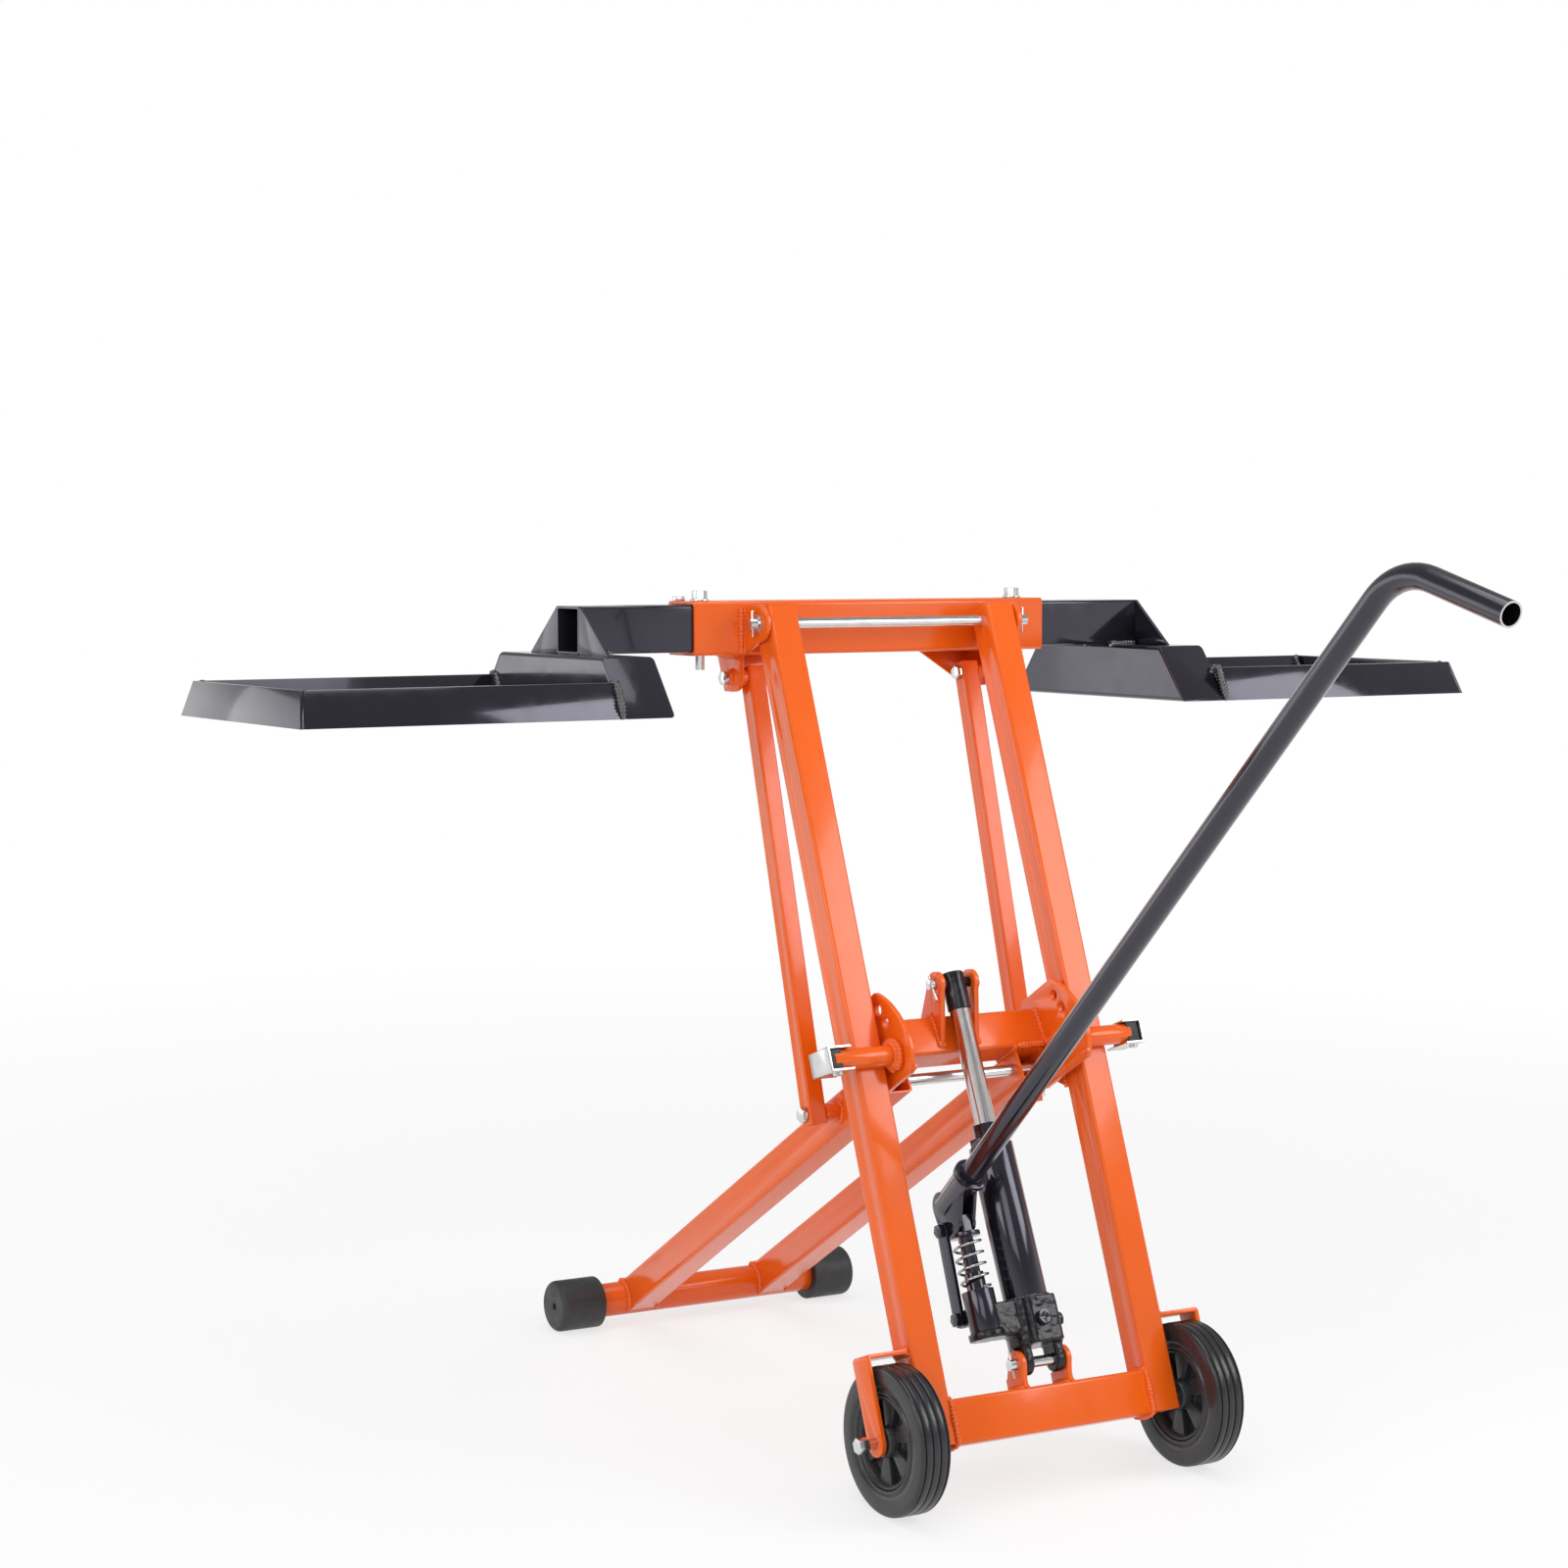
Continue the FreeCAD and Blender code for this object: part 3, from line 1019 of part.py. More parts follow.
def make_jack_base():
    """The casting: clevis below, a block round the reservoir, and the pump's seat."""
    inner = JACK_EAR_INNER_Y - CLEVIS_GAP - CLEVIS_LEG_THICKNESS
    outer = JACK_EAR_INNER_Y - CLEVIS_GAP
    core = round_along_z(0, 0, BASE_RADIUS, BASE_BOTTOM, BASE_TOP)
    front = rounded_block(
        0, BASE_RADIUS, -BASE_RADIUS * 2 / 3, BASE_RADIUS * 2 / 3, BASE_BOTTOM, BASE_TOP,
        ALONG_Z, BASE_CORNER)
    base = core.fuse(front)
    bridge = block(
        -PUMP_CYLINDER_RADIUS, PUMP_CYLINDER_RADIUS, PUMP_Y, 0, PUMP_CYLINDER_BOTTOM, BASE_TOP)
    base = base.fuse(bridge)
    base = base.fuse(round_along_z(
        0, PUMP_Y, PUMP_LIP_RADIUS, PUMP_CYLINDER_BOTTOM, PUMP_CYLINDER_BOTTOM + PUMP_LIP_HEIGHT))
    lug_y = PUMP_Y - PLUNGER_HEAD_WIDTH / 2 - CHEEK_THICKNESS
    base = base.fuse(block(
        -FULCRUM_FOOT_BACK - LINK_STRAP_RADIUS, -PUMP_CYLINDER_RADIUS / 2,
        lug_y, 2 * PUMP_Y - lug_y, FULCRUM_FOOT_HEIGHT - LINK_STRAP_RADIUS,
        FULCRUM_FOOT_HEIGHT + LINK_STRAP_RADIUS))
    for y0 in (inner, -outer):
        leg = block(-CLEVIS_LEG_RADIUS, CLEVIS_LEG_RADIUS, y0, y0 + CLEVIS_LEG_THICKNESS, 0, BASE_TOP / 2)
        leg = leg.fuse(round_along_y(0, 0, CLEVIS_LEG_RADIUS, y0, y0 + CLEVIS_LEG_THICKNESS))
        base = base.fuse(leg)
    base = base.removeSplitter()
    base = base.cut(round_along_y(0, 0, JACK_PIN_RADIUS + PIN_CLEARANCE, -outer - OVERRUN, outer + OVERRUN))
    base = base.cut(round_along_z(
        0, PUMP_Y, PUMP_CYLINDER_RADIUS, PUMP_CYLINDER_BOTTOM + PUMP_LIP_HEIGHT, BASE_TOP + OVERRUN))
    base = base.cut(Part.makeCylinder(
        VALVE_STEM_RADIUS + PIN_CLEARANCE, VALVE_STEM_LENGTH + PIECE_GAP,
        Vector(BASE_RADIUS - VALVE_STEM_LENGTH - PIECE_GAP, VALVE_Y, VALVE_HEIGHT), ALONG_X))
    base = base.fuse(round_along_y(
        0, VALVE_HEIGHT, SIDE_PLUG_RADIUS, BASE_RADIUS - PIECE_GAP, BASE_RADIUS + SIDE_PLUG_LENGTH))
    base = base.cut(round_along_y(
        -FULCRUM_FOOT_BACK, FULCRUM_FOOT_HEIGHT, FULCRUM_PIN_RADIUS, 2 * PUMP_Y, 0))
    return placed(base, JACK)


def make_reservoir():
    """The oil tube with the ram's cylinder inside it."""
    tube = round_along_z(0, 0, RESERVOIR_RADIUS, BASE_TOP, RESERVOIR_TOP)
    tube = tube.cut(round_along_z(
        0, 0, RAM_RADIUS + PIN_CLEARANCE, BASE_TOP + TUBE_WALL, RESERVOIR_TOP + OVERRUN))
    return placed(tube, JACK)


def make_gland():
    """The hexagon top nut and the gland ring round the ram."""
    gland = hexagon_along_z(0, 0, TOP_NUT_ACROSS / 2, RESERVOIR_TOP, RESERVOIR_TOP + TOP_NUT_HEIGHT)
    gland = gland.fuse(round_along_z(0, 0, GLAND_RADIUS, RESERVOIR_TOP, GLAND_TOP))
    gland = gland.removeSplitter()
    gland = gland.cut(round_along_z(
        0, 0, RAM_RADIUS + PIN_CLEARANCE, RESERVOIR_TOP - OVERRUN, GLAND_TOP + OVERRUN))
    return placed(gland, JACK)


def make_ram():
    """The ram with its black eye head, and the pin's middle stretch through the head."""
    head_bottom = JACK_LENGTH - RAM_HEAD_BELOW_PIN
    ram = round_along_z(0, 0, RAM_RADIUS, GLAND_TOP - RAM_TAIL, head_bottom)
    head = round_along_z(0, 0, RAM_HEAD_RADIUS, head_bottom, JACK_LENGTH + RAM_HEAD_ABOVE_PIN)
    head = head.makeChamfer(TUBE_WALL / 2, [edge for edge in head.Edges if edge.Closed])
    reach = RAM_EAR_INNER_Y - PIECE_GAP
    pin = round_along_y(0, JACK_LENGTH, RAM_PIN_RADIUS, -reach, reach)
    return placed(ram.fuse(head).fuse(pin), JACK)


def make_jack_pin():
    outer = JACK_EAR_INNER_Y + EAR_THICKNESS
    pin = round_along_y(0, 0, JACK_PIN_RADIUS, -JACK_PIN_END_Y, outer)
    pin = pin.fuse(round_along_y(0, 0, BOLT_HEAD_RADIUS, outer, outer + WASHER_THICKNESS * 2))
    pin = pin.fuse(round_along_z(
        0, -(outer + JACK_PIN_END_Y) / 2, COTTER_RADIUS, -COTTER_LENGTH / 2, COTTER_LENGTH / 2))
    return placed(pin, JACK)


def make_pump_cylinder():
    """The pump's cylinder, with a guide neck inside the spring."""
    seat = PUMP_CYLINDER_BOTTOM + PUMP_LIP_HEIGHT
    cylinder = round_along_z(0, PUMP_Y, PUMP_CYLINDER_RADIUS, seat, PUMP_CYLINDER_TOP)
    cylinder = cylinder.fuse(round_along_z(
        0, PUMP_Y, PUMP_NECK_RADIUS, seat, PUMP_CYLINDER_TOP + PUMP_NECK_HEIGHT))
    cylinder = cylinder.removeSplitter()
    cylinder = cylinder.cut(round_along_z(
        0, PUMP_Y, PLUNGER_RADIUS + PIN_CLEARANCE, seat + TUBE_WALL,
        PUMP_CYLINDER_TOP + PUMP_NECK_HEIGHT + OVERRUN))
    return placed(cylinder, JACK)


def make_pump_plunger():
    """The plunger, the cap that holds the spring and the head that the lever pushes."""
    plunger = round_along_z(
        0, PUMP_Y, PLUNGER_RADIUS, PUMP_CYLINDER_TOP - PLUNGER_TAIL, SPRING_TOP)
    plunger = plunger.fuse(round_along_z(
        0, PUMP_Y, SPRING_CAP_RADIUS, SPRING_TOP, SPRING_TOP + SPRING_CAP_HEIGHT))
    half = PLUNGER_HEAD_WIDTH / 2 - PIECE_GAP
    head = rounded_block(
        -PLUNGER_HEAD_HALF, PLUNGER_HEAD_HALF, PUMP_Y - half, PUMP_Y + half,
        SPRING_TOP + SPRING_CAP_HEIGHT, PUMP_PIN_HEIGHT + PLUNGER_HEAD_TOP, ALONG_Z, CHANNEL_CORNER)
    plunger = plunger.fuse(head).removeSplitter()
    reach = PUMP_PIN_RADIUS + PIECE_GAP
    play = PLUNGER_SLOT_PLAY
    slot = block(
        -play, play, PUMP_Y - OVERRUN, PUMP_Y + OVERRUN, PUMP_PIN_HEIGHT - reach,
        PUMP_PIN_HEIGHT + reach)
    for x in (-play, play):
        slot = slot.fuse(round_along_y(x, PUMP_PIN_HEIGHT, reach, PUMP_Y - OVERRUN, PUMP_Y + OVERRUN))
    return placed(plunger.cut(slot), JACK)


def spring_point(turn):
    """A point on the spring's centre line after the given number of turns."""
    low = PUMP_CYLINDER_TOP + SPRING_WIRE_RADIUS + SEAT_GAP
    high = SPRING_TOP - SPRING_WIRE_RADIUS - SEAT_GAP
    angle = 2 * math.pi * turn
    return Vector(
        SPRING_RADIUS * math.cos(angle), PUMP_Y + SPRING_RADIUS * math.sin(angle),
        low + (high - low) * turn / SPRING_TURNS)


def make_pump_spring():
    """The return spring: one wire wound in quarter-turn arcs."""
    quarters = int(round(4 * SPRING_TURNS))
    arcs = []
    for number in range(quarters):
        start = SPRING_TURNS * number / quarters
        step = SPRING_TURNS / quarters
        arcs.append(Part.Arc(
            spring_point(start), spring_point(start + step / 2), spring_point(start + step)).toShape())
    path = Part.Wire(arcs)
    first = spring_point(0)
    along = arcs[0].tangentAt(arcs[0].FirstParameter)
    side = along.cross(ALONG_Z).normalize()
    up = side.cross(along)
    corners = []
    for number in range(SPRING_WIRE_SIDES):
        angle = 2 * math.pi * number / SPRING_WIRE_SIDES
        corners.append(first + (side * math.cos(angle) + up * math.sin(angle)) * SPRING_WIRE_RADIUS)
    ring = Part.makePolygon(corners + corners[:1])
    wire = path.makePipeShell([ring], True, False)
    pitch = (SPRING_TOP - PUMP_CYLINDER_TOP) / SPRING_TURNS
    print("spring turns", SPRING_TURNS, "least gap between turns", round(pitch - 2 * SPRING_WIRE_RADIUS, 2))
    return placed(wire, JACK)


def make_handle_socket():
    """The socket tube for the handle, on two cheeks that straddle the plunger's head."""
    mouth = Vector(SOCKET_MOUTH_FORWARD, PUMP_Y, SOCKET_MOUTH_HEIGHT)
    lean = math.radians(HANDLE_ANGLE - (JACK_LEAN - 90.0))
    along = Vector(math.cos(lean), 0, math.sin(lean))
    bottom = mouth - along * SOCKET_LENGTH
    tube = Part.makeCylinder(SOCKET_RADIUS, SOCKET_LENGTH, bottom, along)
    ring = Part.makeCylinder(
        SOCKET_RING_RADIUS, SOCKET_RING_LENGTH, mouth - along * SOCKET_RING_LENGTH, along)
    socket = tube.fuse(ring)
    inner = PLUNGER_HEAD_WIDTH / 2
    outer = inner + CHEEK_THICKNESS
    for y0 in (PUMP_Y + inner, PUMP_Y - outer):
        y1 = y0 + CHEEK_THICKNESS
        cheek = rounded_strap(
            -FULCRUM_BACK, FULCRUM_HEIGHT, CHEEK_RADIUS, bottom.x, bottom.z, SOCKET_RADIUS, y0, y1)
        cheek = cheek.fuse(rounded_strap(
            -FULCRUM_BACK, FULCRUM_HEIGHT, CHEEK_RADIUS, 0, PUMP_PIN_HEIGHT, CHEEK_FRONT_RADIUS, y0, y1))
        cheek = cheek.fuse(plate_along_y([
            (-FULCRUM_BACK, FULCRUM_HEIGHT), (0, PUMP_PIN_HEIGHT),
            (CHEEK_FRONT_RADIUS, PUMP_PIN_HEIGHT),
            (mouth.x - SOCKET_RING_LENGTH * 2, mouth.z - SOCKET_RADIUS),
            (bottom.x, bottom.z)], y0, y1))
        socket = socket.fuse(cheek)
    socket = socket.removeSplitter()
    bore = Part.makeCylinder(
        HANDLE_RADIUS + HANDLE_CLEARANCE, SOCKET_LENGTH + OVERRUN, bottom + along * SOCKET_FLOOR, along)
    socket = socket.cut(bore)
    socket = socket.cut(round_along_y(
        -FULCRUM_BACK, FULCRUM_HEIGHT, FULCRUM_PIN_RADIUS + PIN_CLEARANCE, PUMP_Y - OVERRUN,
        PUMP_Y + OVERRUN))
    socket = socket.fuse(round_along_y(0, PUMP_PIN_HEIGHT, PUMP_PIN_RADIUS, PUMP_Y - outer, PUMP_Y + outer))
    return placed(socket.removeSplitter(), JACK)


def make_fulcrum_links():
    """Two side links from the casting up to the lever's fulcrum, with their two bolts."""
    inner = PLUNGER_HEAD_WIDTH / 2 + CHEEK_THICKNESS + PIECE_GAP
    outer = inner + LINK_STRAP_THICKNESS
    pieces = []
    for y0 in (PUMP_Y + inner, PUMP_Y - outer):
        link = rounded_strap(
            -FULCRUM_BACK, FULCRUM_HEIGHT, LINK_STRAP_RADIUS, -FULCRUM_FOOT_BACK,
            FULCRUM_FOOT_HEIGHT, LINK_STRAP_RADIUS, y0, y0 + LINK_STRAP_THICKNESS)
        for x, z in ((-FULCRUM_BACK, FULCRUM_HEIGHT), (-FULCRUM_FOOT_BACK, FULCRUM_FOOT_HEIGHT)):
            link = link.cut(round_along_y(
                x, z, FULCRUM_PIN_RADIUS, PUMP_Y - 2 * OVERRUN, PUMP_Y + 2 * OVERRUN))
        pieces.append(placed(link, JACK))
    for x, z in ((-FULCRUM_BACK, FULCRUM_HEIGHT), (-FULCRUM_FOOT_BACK, FULCRUM_FOOT_HEIGHT)):
        bolt = round_along_y(x, z, FULCRUM_PIN_RADIUS, PUMP_Y - outer, PUMP_Y + outer)
        for y0 in (PUMP_Y - outer - FULCRUM_HEAD_HEIGHT, PUMP_Y + outer):
            bolt = bolt.fuse(hexagon_along_y(x, z, FULCRUM_HEAD_RADIUS, y0, y0 + FULCRUM_HEAD_HEIGHT))
        pieces.append(placed(bolt.removeSplitter(), JACK))
    return Part.makeCompound(pieces)


def make_release_valve():
    """The slotted valve knob on the front of the casting."""
    front = BASE_RADIUS + PIN_CLEARANCE
    valve = Part.makeCylinder(
        VALVE_RADIUS, VALVE_LENGTH, Vector(front, VALVE_Y, VALVE_HEIGHT), ALONG_X)
    valve = valve.fuse(Part.makeCylinder(
        VALVE_STEM_RADIUS, VALVE_STEM_LENGTH,
        Vector(front - VALVE_STEM_LENGTH, VALVE_Y, VALVE_HEIGHT), ALONG_X))
    half = VALVE_SLOT_WIDTH / 2
    deep = front + VALVE_LENGTH - VALVE_SLOT_DEPTH
    reach = VALVE_RADIUS * 2 / 3
    valve = valve.cut(block(
        deep, front + OVERRUN, VALVE_Y - reach, VALVE_Y + reach, VALVE_HEIGHT - half, VALVE_HEIGHT + half))
    valve = valve.cut(block(
        deep, front + OVERRUN, VALVE_Y - half, VALVE_Y + half, VALVE_HEIGHT - reach, VALVE_HEIGHT + reach))
    return placed(valve, JACK)


def make_filler_plug():
    """The rubber plug on the back of the reservoir."""
    plug = Part.makeCylinder(
        FILLER_RADIUS, RESERVOIR_RADIUS / 2 + FILLER_LENGTH,
        Vector(-RESERVOIR_RADIUS - FILLER_LENGTH, 0, FILLER_HEIGHT), ALONG_X)
    plug = plug.cut(round_along_z(0, 0, RESERVOIR_RADIUS, 0, JACK_LENGTH))
    return placed(plug, JACK)


def make_handle():
    """The bent pump handle, one steel tube open at its far end."""
    turn = math.radians(HANDLE_TURN)
    tangent = HANDLE_BEND_RADIUS * math.tan(turn / 2)
    start = Vector(SOCKET_FLOOR + SEAT_GAP - SOCKET_LENGTH, PUMP_Y, 0)
    bend_in = Vector(HANDLE_TO_CORNER - tangent, PUMP_Y, 0)
    corner = Vector(HANDLE_TO_CORNER, PUMP_Y, 0)
    down = Vector(math.cos(turn), 0, -math.sin(turn))
    bend_out = corner + down * tangent
    end = corner + down * HANDLE_END_LENGTH
    centre = bend_in - ALONG_Z * HANDLE_BEND_RADIUS
    half = turn / 2
    middle = centre + Vector(math.sin(half), 0, math.cos(half)) * HANDLE_BEND_RADIUS
    path = Part.Wire([
        Part.LineSegment(start, bend_in).toShape(), Part.Arc(bend_in, middle, bend_out).toShape(),
        Part.LineSegment(bend_out, end).toShape()])
    outer = Part.Wire([Part.makeCircle(HANDLE_RADIUS, start, ALONG_X)])
    inner = Part.Wire([Part.makeCircle(HANDLE_RADIUS - HANDLE_WALL, start, ALONG_X)])
    tube = path.makePipeShell([outer], True, False).cut(path.makePipeShell([inner], True, False))
    return placed(tube, HANDLE)


def build_nodes():
    """Every piece of the lift by name, in the lift's axes."""
    nodes = {}
    nodes["right_arm"] = make_arm()
    nodes["left_arm"] = mirrored(nodes["right_arm"])
    nodes["lower_cross_tube"] = make_lower_cross_tube()
    nodes["jack_ears"] = both_sides(make_jack_ear)
    nodes["pivot_lugs"] = both_sides(make_pivot_lug)
    nodes["wheel_straps"] = both_sides(make_wheel_strap)
    nodes["wheel_axles"] = both_sides(make_wheel_axle)
    nodes["jack_pin"] = make_jack_pin()
    nodes["lock_tubes"] = both_sides(make_lock_tube)
    nodes["lock_channels"] = both_sides(make_lock_channel)
    nodes["lock_blocks"] = both_sides(make_lock_block)
    nodes["right_tyre"] = make_tyre()
    nodes["left_tyre"] = mirrored(nodes["right_tyre"])
    nodes["right_hub"] = make_wheel_hub()
    nodes["left_hub"] = mirrored(nodes["right_hub"])
    nodes["right_leg"] = make_leg()
    nodes["left_leg"] = mirrored(nodes["right_leg"])
    nodes["foot_bar"] = make_foot_bar()
    nodes["foot_caps"] = both_sides(make_foot_cap)
    nodes["mid_cross_tube"] = make_mid_cross_tube()
    nodes["ram_ears"] = both_sides(make_ram_ear)
    nodes["right_sector_plate"] = make_sector_plate()
    nodes["left_sector_plate"] = mirrored(nodes["right_sector_plate"])
    nodes["middle_rod"] = make_middle_rod()
    nodes["link_bosses"] = both_sides(make_link_boss)
    nodes["link_lower_bolts"] = both_sides(make_link_lower_bolt)
    nodes["ram_pin_ends"] = make_ram_pin_ends()
    nodes["right_link"] = make_link()
    nodes["left_link"] = mirrored(nodes["right_link"])
    nodes["right_link_pin"] = make_link_pin()
    nodes["left_link_pin"] = mirrored(nodes["right_link_pin"])
    nodes["carrier_tube"] = make_carrier_tube()
    nodes["carrier_ears"] = both_sides(make_carrier_ear)
    nodes["link_lugs"] = both_sides(make_link_lug)
    nodes["link_upper_bolts"] = both_sides(make_link_upper_bolt)
    nodes["top_rod"] = make_top_rod()
    nodes["pan_lock_bolts"] = both_sides(make_lock_bolt)
    nodes["carrier_end_screws"] = both_sides(make_end_screw)
    for part, make in (
            ("pan_tube", make_pan_tube), ("pan_box", make_pan_box), ("pan_rails", make_pan_rails),
            ("pan_end_wall", make_pan_end_wall), ("pan_gussets", make_pan_gussets)):
        shape = make()
        nodes["right_" + part] = shape
        nodes["left_" + part] = mirrored(shape)
    nodes["jack_base"] = make_jack_base()
    nodes["jack_reservoir"] = make_reservoir()
    nodes["jack_gland"] = make_gland()
    nodes["jack_ram"] = make_ram()
    nodes["pump_cylinder"] = make_pump_cylinder()
    nodes["pump_plunger"] = make_pump_plunger()
    nodes["pump_spring"] = make_pump_spring()
    nodes["handle_socket"] = make_handle_socket()
    nodes["fulcrum_links"] = make_fulcrum_links()
    nodes["release_valve"] = make_release_valve()
    nodes["filler_plug"] = make_filler_plug()
    nodes["pump_handle"] = make_handle()
    return nodes


def floor_shift(nodes):
    """The move that puts the origin on the floor, in the middle of the lift's length."""
    low = min(shape.optimalBoundingBox().XMin for shape in nodes.values())
    high = max(shape.optimalBoundingBox().XMax for shape in nodes.values())
    return Vector(-(low + high) / 2, 0, 0)


nodes = build_nodes()
shift = floor_shift(nodes)
os.makedirs("parts", exist_ok=True)
for name, shape in nodes.items():
    shape.translate(shift)
    shape.exportStep("parts/" + name + ".step")
print(len(nodes), "nodes, shift", round(shift.x, 3))
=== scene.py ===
import json
import math

import bpy
from mathutils import Matrix, Vector


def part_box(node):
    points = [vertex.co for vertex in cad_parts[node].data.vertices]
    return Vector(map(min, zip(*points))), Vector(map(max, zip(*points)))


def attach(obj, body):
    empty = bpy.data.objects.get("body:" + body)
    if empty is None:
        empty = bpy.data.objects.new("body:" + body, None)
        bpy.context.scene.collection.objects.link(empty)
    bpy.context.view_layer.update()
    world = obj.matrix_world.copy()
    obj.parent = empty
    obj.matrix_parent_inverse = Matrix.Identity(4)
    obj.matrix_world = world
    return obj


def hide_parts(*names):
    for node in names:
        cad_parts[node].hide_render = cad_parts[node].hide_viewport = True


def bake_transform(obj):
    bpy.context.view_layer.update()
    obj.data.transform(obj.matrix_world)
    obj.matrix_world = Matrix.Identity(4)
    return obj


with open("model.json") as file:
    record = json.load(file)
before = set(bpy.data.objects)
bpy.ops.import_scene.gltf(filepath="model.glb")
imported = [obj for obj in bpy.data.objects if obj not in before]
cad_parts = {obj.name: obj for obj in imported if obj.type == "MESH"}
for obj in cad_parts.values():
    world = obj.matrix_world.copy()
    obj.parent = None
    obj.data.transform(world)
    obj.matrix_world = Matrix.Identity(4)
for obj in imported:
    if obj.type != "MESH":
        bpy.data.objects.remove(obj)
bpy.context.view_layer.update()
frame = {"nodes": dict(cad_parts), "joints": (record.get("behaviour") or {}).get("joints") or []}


# Foot bar and legs: a round steel bar lies on the floor across the lift, and two square
# tubes, coped over it and welded, rise to the middle pivot. All of it is powder coated
# in gloss orange after welding.
MM = 0.001
ORANGE = (0.86, 0.122, 0.006, 1.0)
MERGE_DISTANCE = 0.00001
FLAT_ANGLE = math.radians(0.8)
EDGE_ANGLE = math.radians(40.0)
SMOOTH_ANGLE = math.radians(38.0)
TUBE_EDGE = 0.4 * MM
LEG_TUBE_HALF = 20.25 * MM
LEG_SIDES = (76.0 * MM, 116.5 * MM)
FOOT_BAR_RADIUS = 21.0 * MM
FOOT_WELD_RADIUS = FOOT_BAR_RADIUS * 1.03
FOOT_WELD_TURNS = range(-72, 73, 8)
FOOT_WELD_BACK = 5.0 * MM
FOOT_WELD_LIFT = 0.5 * MM
BEAD = 7.0 * MM
BEAD_WAVE = 0.2
BEAD_DRIFT = 0.25
BEAD_TIP = 0.55
BEAD_TIP_GROWTH = 0.15
DRIFT_QUICK = 0.23
DRIFT_SLOW = 0.071
DRIFT_PER_METRE = 900.0
DRIFT_START = 1.3
RIPPLE = 4.2 * MM
STEPS_PER_RIPPLE = 4
FULL_TURNS = range(0, 361, 15)
joints = {joint["name"]: joint for joint in frame["joints"]}
pivots = {name: Vector(joint["pos_m"]) for name, joint in joints.items() if "pos_m" in joint}


def feed(tree, socket, value):
    """Links a socket to another one, or sets it to a plain number or colour."""
    if isinstance(value, bpy.types.NodeSocket):
        tree.links.new(value, socket)
    else:
        socket.default_value = value


def noise_node(tree, coordinates, scale, detail, place):
    """A noise value over the coordinates."""
    noise = tree.nodes.new("ShaderNodeTexNoise")
    noise.inputs["Detail"].default_value = detail
    noise.location = place
    feed(tree, noise.inputs["Scale"], scale)
    feed(tree, noise.inputs["Vector"], coordinates)
    return noise.outputs["Fac"]


def range_node(tree, value, low, high, place, start=0.3, end=0.7):
    """Spreads a value from start..end over low..high."""
    spread = tree.nodes.new("ShaderNodeMapRange")
    spread.inputs["From Min"].default_value = start
    spread.inputs["From Max"].default_value = end
    spread.location = place
    feed(tree, spread.inputs["To Min"], low)
    feed(tree, spread.inputs["To Max"], high)
    feed(tree, spread.inputs["Value"], value)
    return spread.outputs["Result"]


def math_node(tree, operation, first, second, place):
    """Works out one number from two."""
    node = tree.nodes.new("ShaderNodeMath")
    node.operation = operation
    node.location = place
    feed(tree, node.inputs[0], first)
    feed(tree, node.inputs[1], second)
    return node.outputs[0]


def colour_mix(tree, blend, factor, first, second, place):
    """Mixes the second colour into the first."""
    mix = tree.nodes.new("ShaderNodeMix")
    mix.data_type = "RGBA"
    mix.blend_type = blend
    mix.location = place
    feed(tree, mix.inputs["Factor"], factor)
    feed(tree, mix.inputs["A"], first)
    feed(tree, mix.inputs["B"], second)
    return mix.outputs["Result"]


def open_group(name, colours, numbers):
    """A new finish group with its inputs, its three outputs and the piece's own coordinates."""
    tree = bpy.data.node_groups.new(name, "ShaderNodeTree")
    for label in colours:
        tree.interface.new_socket(name=label, in_out="INPUT", socket_type="NodeSocketColor")
    for label in numbers:
        tree.interface.new_socket(name=label, in_out="INPUT", socket_type="NodeSocketFloat")
    tree.interface.new_socket(name="Colour", in_out="OUTPUT", socket_type="NodeSocketColor")
    tree.interface.new_socket(name="Roughness", in_out="OUTPUT", socket_type="NodeSocketFloat")
    tree.interface.new_socket(name="Height", in_out="OUTPUT", socket_type="NodeSocketFloat")
    start = tree.nodes.new("NodeGroupInput")
    start.location = (-900, 0)
    spots = tree.nodes.new("ShaderNodeTexCoord")
    spots.location = (-1100, 300)
    return tree, start.outputs, spots.outputs["Object"]


def close_group(tree, colour, roughness, height):
    """Leads the results to the outputs of a finish group."""
    end = tree.nodes.new("NodeGroupOutput")
    end.location = (700, 0)
    feed(tree, end.inputs["Colour"], colour)
    feed(tree, end.inputs["Roughness"], roughness)
    feed(tree, end.inputs["Height"], height)
    return tree


def build_paint_film():
    """Sprayed and baked coating: slow drift of shade, cloudy gloss and a fine ripple."""
    tree, given, spots = open_group(
        "paint_film", ["Colour"], ["Drift", "Gloss low", "Gloss high", "Ripple size"])
    drift = noise_node(tree, spots, scale=7.0, detail=3.0, place=(-650, 350))
    cloud = noise_node(tree, spots, scale=38.0, detail=4.0, place=(-650, 100))
    ripple = noise_node(tree, spots, given["Ripple size"], detail=1.5, place=(-650, -150))
    darkest = math_node(tree, "SUBTRACT", 1.0, given["Drift"], (-450, 500))
    shade = range_node(tree, drift, darkest, 1.0, (-250, 400))
    tint = colour_mix(tree, "MULTIPLY", 1.0, given["Colour"], shade, (100, 300))
    gloss = range_node(tree, cloud, given["Gloss low"], given["Gloss high"], (-250, 100))
    return close_group(tree, tint, gloss, ripple)


paint_film = build_paint_film()


